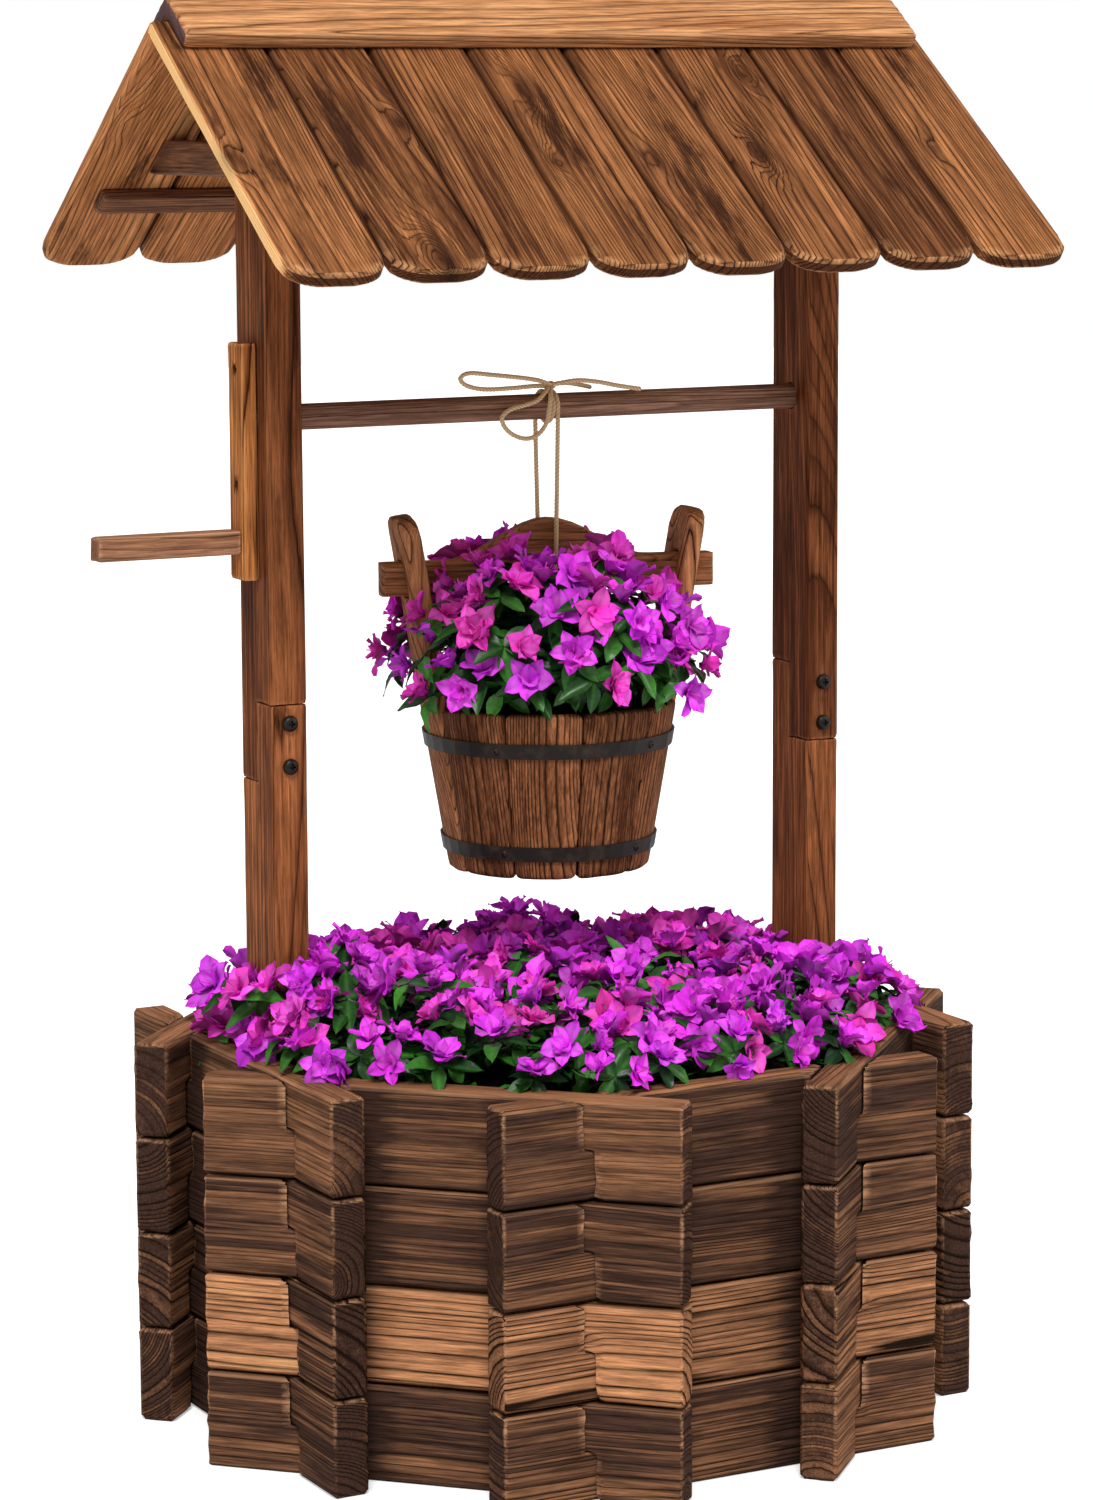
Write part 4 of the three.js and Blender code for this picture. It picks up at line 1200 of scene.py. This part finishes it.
def paint_hole_shade(mesh):
    """The crank arm's two holes are painted dark inside, as shade, and their rims aren't worn."""
    for vertex in mesh.vertices:
        for height in ARM_HOLES:
            if math.hypot(vertex.co.y, vertex.co.z - height) < ARM_HOLE_REACH:
                mesh.attributes["knot"].data[vertex.index].value = 1.0
                mesh.attributes["wear"].data[vertex.index].value = 0.0


# The bucket

STAVE_GAP = 0.5 * MM
HOOP_THICKNESS = 1.5 * MM
SCREW_RADIUS = 3.1 * MM
SCREW_HEIGHT = 2.2 * MM
# Where round the bucket the hoops' screws are, in degrees
SCREW_ANGLES = (-142, -64, 35, 118)
SHARP_ANGLE = math.radians(35)


def bucket_radius(height):
    """The bucket's outer radius at that height."""
    share = (height - BUCKET_BASE) / (BUCKET_RIM - BUCKET_BASE)
    return BUCKET_BASE_RADIUS + (BUCKET_RIM_RADIUS - BUCKET_BASE_RADIUS) * share


def stave_solid(index):
    """One stave of the bucket, a slice of its wall, with a small gap to the next."""
    rings = []
    for z in np.linspace(BUCKET_BASE, BUCKET_RIM, 11):
        ring = []
        for radius, way in ((bucket_radius(z), 1), (bucket_radius(z) - STAVE_THICKNESS, -1)):
            half = STAVE_ANGLE / 2 - STAVE_GAP / radius
            turns = np.linspace(-half, half, 9)[::way] + index * STAVE_ANGLE + BUCKET_TWIST
            ring.append(arc(turns, radius, z) + (CENTRE_X, 0, 0))
        rings.append(np.concatenate(ring))
    return np.concatenate(rings), ring_faces(len(rings), len(rings[0]))


def make_bucket(looks, steel):
    """The eight staves between the two lugs, and the hoops with their screws."""
    for index in range(STAVE_COUNT):
        number = index % (STAVE_COUNT // 2)
        if number == 0:
            continue
        group = "back_staves" if index == number else "front_staves"
        name = f"{group[:-1]}_{number}"
        outward = arc(index * STAVE_ANGLE + BUCKET_TWIST)
        rng = rng_of(name)
        timber(
            name, stave_solid(index), frame_axes(UP, outward), "bucket", looks["stave"], replaces=(group,),
            tone=rng.uniform(0.26, 0.48), spacing=rng.uniform(2.6, 4) * MM, **STAVE_WOOD,
        )
    for node in ("upper_hoop", "lower_hoop"):
        slot = NODES[node].material_slots[0]
        slot.link = "OBJECT"
        slot.material = steel
        low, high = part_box(node)
        make_hoop_screws(node, (low[2] + high[2]) / 2, steel)


def bolt_head(radius, height):
    """A pan head with a cross recess, as points and faces: its flat side on z = 0."""
    rise = np.linspace(0, math.pi / 2, 7)[:-1]
    angles = even_angles(28)
    rings = [arc(angles, radius)]
    for a in rise:
        rings.append(arc(angles, radius * math.cos(a) ** 0.6, height * (0.25 + 0.75 * math.sin(a) ** 1.2)))
    faces = ring_faces(len(rings), len(angles), apex=True)
    head = mesh_object("head", np.concatenate([*rings, [(0, 0, height)]]), faces)
    arm, thin, deep = radius * 0.5, radius * 0.13, height * 0.55
    cutters = []
    for turn in (0, math.pi / 2):
        corners = []
        for z, share in ((height - deep, 0.55), (height * 1.2, 1.0)):
            for x, y in ((-arm, -thin), (arm, -thin), (arm, thin), (-arm, thin)):
                corners.append((Matrix.Rotation(turn, 3, "Z") @ Vector((x * share, y, z)))[:])
        cutters.append(mesh_object("cutter", corners, ring_faces(2, 4), smooth=False))
        cut = head.modifiers.new("cut", "BOOLEAN")
        cut.operation = "DIFFERENCE"
        cut.object = cutters[-1]
    made = bpy.data.meshes.new_from_object(head.evaluated_get(bpy.context.evaluated_depsgraph_get()))
    solid = mesh_arrays(made)
    bpy.data.meshes.remove(made)
    remove_meshes(head, *cutters)
    return solid


def make_hoop_screws(node, height, steel):
    """The screws of a hoop, on the staves beside the lugs."""
    points, faces = bolt_head(SCREW_RADIUS, SCREW_HEIGHT)
    slope = math.atan2(BUCKET_RIM_RADIUS - BUCKET_BASE_RADIUS, BUCKET_RIM - BUCKET_BASE)
    screws = []
    for turn in np.radians(SCREW_ANGLES):
        outward = Vector(arc(turn, math.cos(slope), -math.sin(slope)))
        rotation = np.array(outward.to_track_quat("Z", "Y").to_matrix())
        place = arc(turn, bucket_radius(height) + HOOP_THICKNESS, height) + (CENTRE_X, 0, 0)
        screws.append((points @ rotation.T + place, faces))
    obj = mesh_object(node + "_screws", *merged(screws))
    obj.data.set_sharp_from_angle(angle=SHARP_ANGLE)
    fitted(obj, steel, "bucket")


# The bolts through the posts

HEAD_HEIGHT = 4.5 * MM
SHANK_RADIUS = 3 * MM
SHANK_SHORT = 0.5 * MM
SHANK_BEVEL = 0.3 * MM
NUT_RADIUS = 5.5 * MM
NUT_HEIGHT = 5 * MM
NUT_BEVEL = 0.5 * MM


def rod(sides, radius, low, high, bevel):
    """A closed rod along z with bevelled ends, as points and faces."""
    turns = even_angles(sides, 0.5)
    levels = ((low, radius - bevel), (low + bevel, radius), (high - bevel, radius), (high, radius - bevel))
    return np.concatenate([arc(turns, r, z) for z, r in levels]), ring_faces(4, sides)


def make_splice_bolts(steel):
    """The four bolts through the posts: a pan head with a cross recess, a shank and a nut."""
    for side in ("left", "right"):
        for level in ("upper", "lower"):
            node = f"{side}_{level}_splice_bolt"
            low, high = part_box(node)
            end = HEAD_HEIGHT - (high[1] - low[1])
            points, faces = merged(
                (
                    bolt_head((high[0] - low[0]) / 2, HEAD_HEIGHT),
                    rod(20, SHANK_RADIUS, end + SHANK_SHORT, 0.0, SHANK_BEVEL),
                    rod(6, NUT_RADIUS, end, end + NUT_HEIGHT, NUT_BEVEL),
                )
            )
            centre = ((low[0] + high[0]) / 2, low[1] + HEAD_HEIGHT, (low[2] + high[2]) / 2)
            obj = mesh_object(node + "_steel", points[:, [0, 2, 1]] * (1, -1, 1) + centre, faces)
            obj.data.set_sharp_from_angle(angle=SHARP_ANGLE)
            fitted(obj, steel, "frame", (node,))


# Plants

PURPLE = np.array((0.86, 0.012, 0.9))
MAGENTA = np.array((1.0, 0.018, 0.62))
PALE = np.array((1.0, 0.42, 0.98))
STAMEN = np.array((0.8, 0.1, 0.5))
LEAF_DARK = np.array((0.006, 0.03, 0.008))
LEAF_LIGHT = np.array((0.07, 0.3, 0.035))
BLOOM_SIZE = 24 * MM
PETALS = 5


class Growth:
    """Points, faces and tints of many small pieces that make one mesh."""

    def __init__(self):
        self.points = []
        self.faces = []
        self.tints = []

    def sheet(self, grid, tints):
        """A net of points, rows by columns, as quads."""
        first = len(self.points)
        rows, columns = grid.shape[:2]
        self.points.extend(grid.reshape(-1, 3))
        self.tints.extend(tints.reshape(-1, 3))
        for i in range(rows - 1):
            for k in range(columns - 1):
                a = first + i * columns + k
                self.faces.append((a, a + 1, a + columns + 1, a + columns))

    def piece(self, name, body, look):
        obj = mesh_object(name, self.points, self.faces)
        tints = np.clip(np.array(self.tints), 0, 1)
        write_attributes(obj, tint=np.concatenate([tints, np.ones((len(tints), 1))], axis=1))
        return fitted(obj, look, body)


def turned(grid, facing, spin):
    """A net whose up is z, turned so that it faces that way."""
    rotation = Vector(facing).to_track_quat("Z", "Y").to_matrix() @ Matrix.Rotation(spin, 3, "Z")
    return grid @ np.array(rotation).T


def petal(rng, length, width, open_angle, rows=7, columns=5):
    """One petal: narrow at its base, widest past its middle, pointed, curving outward, with ruffled edges."""
    u = np.linspace(0, 1, rows)[:, None]
    v = np.linspace(-1, 1, columns)[None, :]
    half = width / 2 * (np.sin(math.pi * u**1.2) ** 0.8 + 0.22 * (1 - u))
    half = half * (1 - 0.92 * smoothstep((u - 0.9) / 0.1))
    bend = open_angle * (0.3 + 0.95 * u**0.8)
    step = length / (rows - 1)
    out = np.cumsum(np.sin(bend), axis=0) * step - math.sin(bend[0, 0]) * step
    rise = np.cumsum(np.cos(bend), axis=0) * step - math.cos(bend[0, 0]) * step
    wave = 0.09 * length * np.sin(u * rng.uniform(5, 9) + rng.uniform(0, 6)) * v * np.abs(v)
    cup = rng.uniform(0.05, 0.35) * width * v**2 * (1 - 0.6 * u)
    roll = rng.normal() * 0.35 * u
    lift = cup + wave
    x = out - lift * np.cos(bend)
    y = half * v * np.cos(roll)
    z = rise + lift * np.sin(bend) + half * v * np.sin(roll)
    return np.stack([x, y, z], axis=-1), u, v


def bloom(growth, rng, centre, facing, size, base_colour):
    """A flower of two rings of petals: an open outer one and a closer inner one."""
    spin = rng.uniform(0, TURN)
    opened = rng.uniform(0.85, 1.15)
    inner_count = rng.choice((3, PETALS, PETALS))
    for i in range(PETALS + inner_count):
        inner = i >= PETALS
        open_angle = rng.uniform(1.0, 1.4) * opened * (0.62 if inner else 1.0)
        length = size * rng.uniform(0.85, 1.12) * (0.8 if inner else 1.0)
        grid, u, v = petal(rng, length, length * rng.uniform(0.5, 0.64), open_angle)
        angle = i * TURN / PETALS + rng.normal() * 0.12 + (0.63 if inner else 0)
        c, s = math.cos(angle), math.sin(angle)
        grid = turned(grid @ np.array([[c, s, 0], [-s, c, 0], [0, 0, 1]]), facing, spin) + centre
        # The pale band along each petal is partly its paler colour and partly a painted highlight, and the
        # darker throat at its base partly painted shade
        glow = 0.4 * np.exp(-((u - 0.6) ** 2) / 0.08) * (1 - 0.7 * np.abs(v)) * rng.uniform(0.1, 1.1) + 0.07
        vein = 1 - 0.5 * np.exp(-(v**2) / 0.02) * u
        throat = 1 - 0.55 * np.exp(-u / 0.14)
        colour = (base_colour * (1 - glow[..., None]) + PALE * glow[..., None]) * (vein * throat)[..., None]
        growth.sheet(grid, colour * rng.uniform(0.6, 1.25))


def stamens(growth, rng, centre, facing, size):
    length, thick = size * 0.7, 0.3 * MM
    u = np.linspace(0, 1, 3)[:, None]
    v = np.linspace(-1, 1, 2)[None, :]
    for _ in range(4):
        angle = rng.uniform(0, TURN)
        lean = rng.uniform(0.1, 0.5)
        x = length * u * math.sin(lean) * math.cos(angle) + thick * v * math.sin(angle)
        y = length * u * math.sin(lean) * math.sin(angle) - thick * v * math.cos(angle)
        z = length * u * math.cos(lean) + 0 * v
        grid = turned(np.stack([x, y, z], axis=-1), facing, 0) + centre
        growth.sheet(grid, np.broadcast_to(STAMEN, grid.shape))


def leaf(growth, rng, root, direction, up, length, width):
    """An oval leaf with a crease along its middle, bending down to its tip."""
    u = np.linspace(0, 1, 7)[:, None]
    v = np.linspace(-1, 1, 5)[None, :]
    half = width / 2 * np.sin(math.pi * u**0.85) ** 0.8
    fold = 0.22 * width * np.abs(v)
    droop = -0.25 * length * u**2 * rng.uniform(0.2, 1.2)
    z = droop + fold * np.sin(math.pi * u) + 0.03 * length * np.sin(u * 9 + v * 2) * np.abs(v)
    forward = Vector(direction).normalized()
    side = Vector(up).cross(forward).normalized()
    basis = np.array([forward[:], side[:], forward.cross(side)[:]])
    grid = np.stack([length * u + 0 * v, half * v, z], axis=-1) @ basis + root
    light = np.clip(0.25 + 0.3 * rng.normal() + 0.25 * np.exp(-(v**2) / 0.01) + 0.1 * u, 0, 1)[..., None]
    growth.sheet(grid, LEAF_DARK * (1 - light) + LEAF_LIGHT * light)


def cluster(blooms, leaves, rng, place, facing, size, bloom_count):
    """A shoot's end: a rosette of leaves with flowers over it."""
    facing = Vector(facing).normalized()
    side = facing.orthogonal().normalized()
    spin = rng.uniform(0, TURN)
    leaf_count = rng.integers(4, 7)
    for i in range(leaf_count):
        around = Matrix.Rotation(spin + i * TURN / leaf_count, 3, facing) @ side
        direction = around + facing * rng.uniform(-0.5, 0.3)
        root = np.array(Vector(place) - facing * size * 0.3)
        length, width = size * rng.uniform(1.0, 1.4), size * rng.uniform(0.44, 0.58)
        leaf(leaves, rng, root, direction, facing, length, width)
    colour = MAGENTA if rng.random() < 0.4 else PURPLE
    alone = bloom_count == 1
    for i in range(bloom_count):
        around = Matrix.Rotation(spin + 1 + i * TURN / bloom_count, 3, facing) @ side
        centre = np.array(Vector(place) + around * (0.0 if alone else size * 0.5) - facing * size * 0.15)
        outward = facing + around * (0.2 if alone else 0.95)
        tint = colour * rng.uniform(0.85, 1.15) + rng.normal(size=3) * (0.04, 0.002, 0.04)
        bloom(blooms, rng, centre, outward, size * rng.uniform(0.85, 1.1), tint)
        stamens(blooms, rng, centre, outward, size)


def spread_points(rng, inside, reach, gap, tries=4000):
    """Places no nearer to each other than the gap."""
    kept = []
    for _ in range(tries):
        p = rng.uniform(-reach, reach, 2)
        if inside(p) and all(np.hypot(*(p - q)) > gap for q in kept):
            kept.append(p)
    return kept


# Shoots that hide the foot of the left post, as places from the middle and heights over the rim, in mm
POST_SHOOTS = (
    (-252, -50, 50), (-232, -56, 66), (-206, -52, 66), (-262, -22, 44),
    (-246, -82, 46), (-220, -90, 54), (-266, 12, 50), (-200, -20, 70),
)
# The planter's mound of flowers: how far out it reaches, its height over the rim, and how much higher it is
# at the left and lower at the back
PLANTER_REACH = WALL_INNER_APOTHEM + 15 * MM
MOUND_HEIGHT = 40 * MM
MOUND_LEFT = 24 * MM
MOUND_BACK = 13 * MM
SHOOT_GAP = 28.5 * MM
# The leaves under the flowers: the gap between them, their room from the wall, how high their two layers
# lie as shares of the mound's height, and their lengths and widths in mm
UNDERGROWTH_GAP = 23 * MM
UNDERGROWTH_ROOM = 7 * MM
UNDERGROWTH_SHARES = (0.45, -0.1)
UNDERGROWTH_LEAF = ((24, 34), (11, 14))
# How far the plants keep from a post, along X inside and outside, and along Y
POST_ROOM = (9 * MM, 7 * MM, 9 * MM)
# What the soil's edge keeps from the wood, and how far its top lies under the rim
PLANTER_SOIL_ROOM = 1.5 * MM
PLANTER_SOIL_DROP = 22 * MM
BUCKET_SOIL_ROOM = 6 * MM
BUCKET_SOIL_DROP = 12 * MM


def octagon_reach(p):
    """How far a point lies from the middle, measured square to the nearest side."""
    return max(p[0] * math.sin(a) - p[1] * math.cos(a) for a in even_angles(SIDE_COUNT))


def mound(p):
    """How far the planter's plants stand over the rim there, and how far out the place lies, as a share.
    The mound is nearly flat, steep at the rim and higher at the left."""
    share = octagon_reach(p) / PLANTER_REACH
    left = smoothstep((-p[0] - 90 * MM) / (110 * MM)) * smoothstep((60 * MM - p[1]) / (60 * MM))
    back = smoothstep(p[1] / (120 * MM))
    height = MOUND_HEIGHT + MOUND_LEFT * left - MOUND_BACK * back
    return height * (1 - 0.7 * share**6), share


def open_place(edge):
    """Whether a place lies inside that edge and off the posts."""

    def inside(p):
        near_x = POST_INNER - POST_ROOM[0] < abs(p[0]) < POST_OUTER + POST_ROOM[1]
        near_post = near_x and abs(p[1]) < POST_HALF_WIDTH + POST_ROOM[2]
        return octagon_reach(p) < edge and not near_post

    return inside


def make_planter_plants(looks):
    rng = rng_of("planter plants")
    blooms, leaves = Growth(), Growth()
    for p in spread_points(rng, open_place(PLANTER_REACH), PLANTER_REACH * 1.08, SHOOT_GAP):
        rise, share = mound(p)
        outward = np.array((p[0], p[1], 0)) / max(TINY, np.hypot(*p))
        facing = Vector(outward) * (0.2 + 0.5 * share**3) + Vector(UP) + Vector(rng.normal(size=3) * 0.3)
        place = (p[0] + CENTRE_X, p[1], RIM_HEIGHT + max(rise + rng.normal() * 6 * MM, 9 * MM))
        size = BLOOM_SIZE * rng.uniform(0.8, 1.1)
        cluster(blooms, leaves, rng, place, facing, size, rng.choice((1, 2, 2)))
    for shoot in POST_SHOOTS:
        facing = Vector((-0.35, -0.5, 1)) + Vector(rng.normal(size=3) * 0.25)
        cluster(blooms, leaves, rng, well_points(shoot) + (0, 0, RIM_HEIGHT), facing, BLOOM_SIZE, 2)
    inside = WALL_INNER_APOTHEM - UNDERGROWTH_ROOM
    for layer in UNDERGROWTH_SHARES:
        for p in spread_points(rng, open_place(inside), inside * 1.08, UNDERGROWTH_GAP):
            height = RIM_HEIGHT + mound(p)[0] * layer - 4 * MM + rng.normal() * 4 * MM
            root = np.array((p[0] + CENTRE_X, p[1], height))
            for _ in range(4):
                direction = Vector((*rng.normal(size=2), rng.uniform(0.1, 0.9)))
                length, width = (rng.uniform(*span) * MM for span in UNDERGROWTH_LEAF)
                leaf(leaves, rng, root, direction, UP, length, width)
    blooms.piece("planter_blooms", "frame", looks["bloom"])
    leaves.piece("planter_leaves", "frame", looks["leaf"])
    corner = (WALL_INNER_APOTHEM - PLANTER_SOIL_ROOM) / math.cos(math.pi / SIDE_COUNT)
    outline = arc(even_angles(SIDE_COUNT, 0.5), corner)
    make_soil("planter_soil", outline, RIM_HEIGHT - PLANTER_SOIL_DROP, "frame", looks["soil"])


# The bucket's shoots from the outside in: the gap between them, the dome's radius and height, their room from
# wood and twine, and their size, in mm but for the size
BUCKET_BLOOMS = (27, 122, 112, 10, 1.0)
BUCKET_LEAVES = ((22, 100, 92, 3, 0.85), (20, 86, 76, 3, 0.85), (21, 74, 58, 2, 0.8))
LOWEST_SHOOT = 12 * MM
# How far from the bucket's middle the lugs are, their half sizes and the yoke's with some air, and how high
# over the rim the yoke's underside is
LUG_PLACE = 100 * MM
LUG_HALF = (13 * MM, 24 * MM)
YOKE_HALF = 9 * MM
YOKE_RISE = 82 * MM


def dome_places(rng, radius, height, gap, tries=9000):
    """Places and outward directions on a full, flat-topped dome, no nearer to each other than the gap."""
    kept = []
    for _ in range(tries):
        turn, rise = rng.uniform(0, TURN), math.asin(rng.uniform(0.0, 1.0))
        flat, up = math.cos(rise), math.sin(rise)
        place = arc(turn, flat * radius, up * height) * (flat**3 + up**3) ** (-1 / 3)
        if all(np.linalg.norm(place - other) > gap for other, _ in kept):
            outward = arc(turn, flat**2 / radius, up**2 / height)
            kept.append((place, outward / np.linalg.norm(outward)))
    return kept


def blocked(p, room):
    """Whether a place over the bucket is too near the yoke's board, a lug or the twine."""
    c, s = math.cos(BUCKET_TWIST), math.sin(BUCKET_TWIST)
    x, y = p[0] * c + p[1] * s, -p[0] * s + p[1] * c
    lug = abs(abs(x) - LUG_PLACE) < LUG_HALF[0] + room and abs(y) < LUG_HALF[1] + room
    yoke = abs(y) < YOKE_HALF + room and p[2] > YOKE_RISE - room
    return lug or yoke


def make_bucket_plants(looks):
    rng = rng_of("bucket plants")
    blooms, leaves = Growth(), Growth()
    for layer in (BUCKET_BLOOMS, *BUCKET_LEAVES):
        gap, radius, height, room = (v * MM for v in layer[:4])
        for place, outward in dome_places(rng, radius, height, gap):
            place = place * (1, 1, 1 - 0.32 * smoothstep((place[0] - 30 * MM) / (90 * MM)))
            if blocked(place, room) or place[2] < LOWEST_SHOOT:
                continue
            spot = place + rng.normal(size=3) * 3 * MM + (CENTRE_X, 0, BUCKET_RIM + 4 * MM)
            facing = Vector(outward) + Vector((0, 0, 0.7)) + Vector(rng.normal(size=3) * 0.25)
            count = rng.choice((1, 2, 2)) if layer is BUCKET_BLOOMS else 0
            cluster(blooms, leaves, rng, spot, facing, BLOOM_SIZE * layer[4] * rng.uniform(0.88, 1.1), count)
    blooms.piece("bucket_blooms", "bucket", looks["bloom"])
    leaves.piece("bucket_leaves", "bucket", looks["leaf"])
    outline = arc(even_angles(24), BUCKET_RIM_RADIUS - STAVE_THICKNESS - BUCKET_SOIL_ROOM)
    make_soil("bucket_soil", outline, BUCKET_RIM - BUCKET_SOIL_DROP, "bucket", looks["soil"])


SOIL_DEPTH = 30 * MM
SOIL_RINGS = 26
SOIL_STEP = 9 * MM


def make_soil(name, outline, level, body, look):
    """A closed bed of soil with a lumpy top."""
    rng = rng_of(name)
    edge = []
    for a, b in zip(outline, np.roll(outline, -1, axis=0)):
        steps = max(1, int(np.linalg.norm(b - a) / SOIL_STEP))
        edge += [a + (b - a) * k / steps for k in range(steps)]
    edge = np.array(edge)
    centre = np.array((CENTRE_X, 0, level))
    shares = np.arange(SOIL_RINGS, 0, -1) / SOIL_RINGS
    top = np.concatenate([*(edge * share + centre for share in shares), [centre]])
    top[:, 2] += 3 * MM * waves(top, rng, 20 * MM) + 2 * MM * waves(top, rng, 8 * MM)
    points = np.concatenate([edge + centre - (0, 0, SOIL_DEPTH), top])
    fitted(mesh_object(name, points, ring_faces(SOIL_RINGS + 1, len(edge), apex=True)), look, body)


make_camera()
make_twine(jute_material())

looks = {
    name: wood_material(name + "_wood", *palette, **extra) for name, (*palette, extra) in WOODS.items()
}
looks["bloom"] = tinted_material("bloom_look", 0.6, 0.15, 300.0, specular=0.04)
looks["leaf"] = tinted_material("leaf_look", 0.34, 0.35, 260.0, specular=0.25)
looks["soil"] = soil_material()
steel = black_steel_material()

make_wall(looks["wall"])
make_wooden_nodes(looks)
make_roof(looks)
make_bucket(looks, steel)
make_splice_bolts(steel)
make_planter_plants(looks)
make_bucket_plants(looks)

make_world()
make_lamps()
make_floor()

bpy.context.scene.view_settings.view_transform = "Standard"
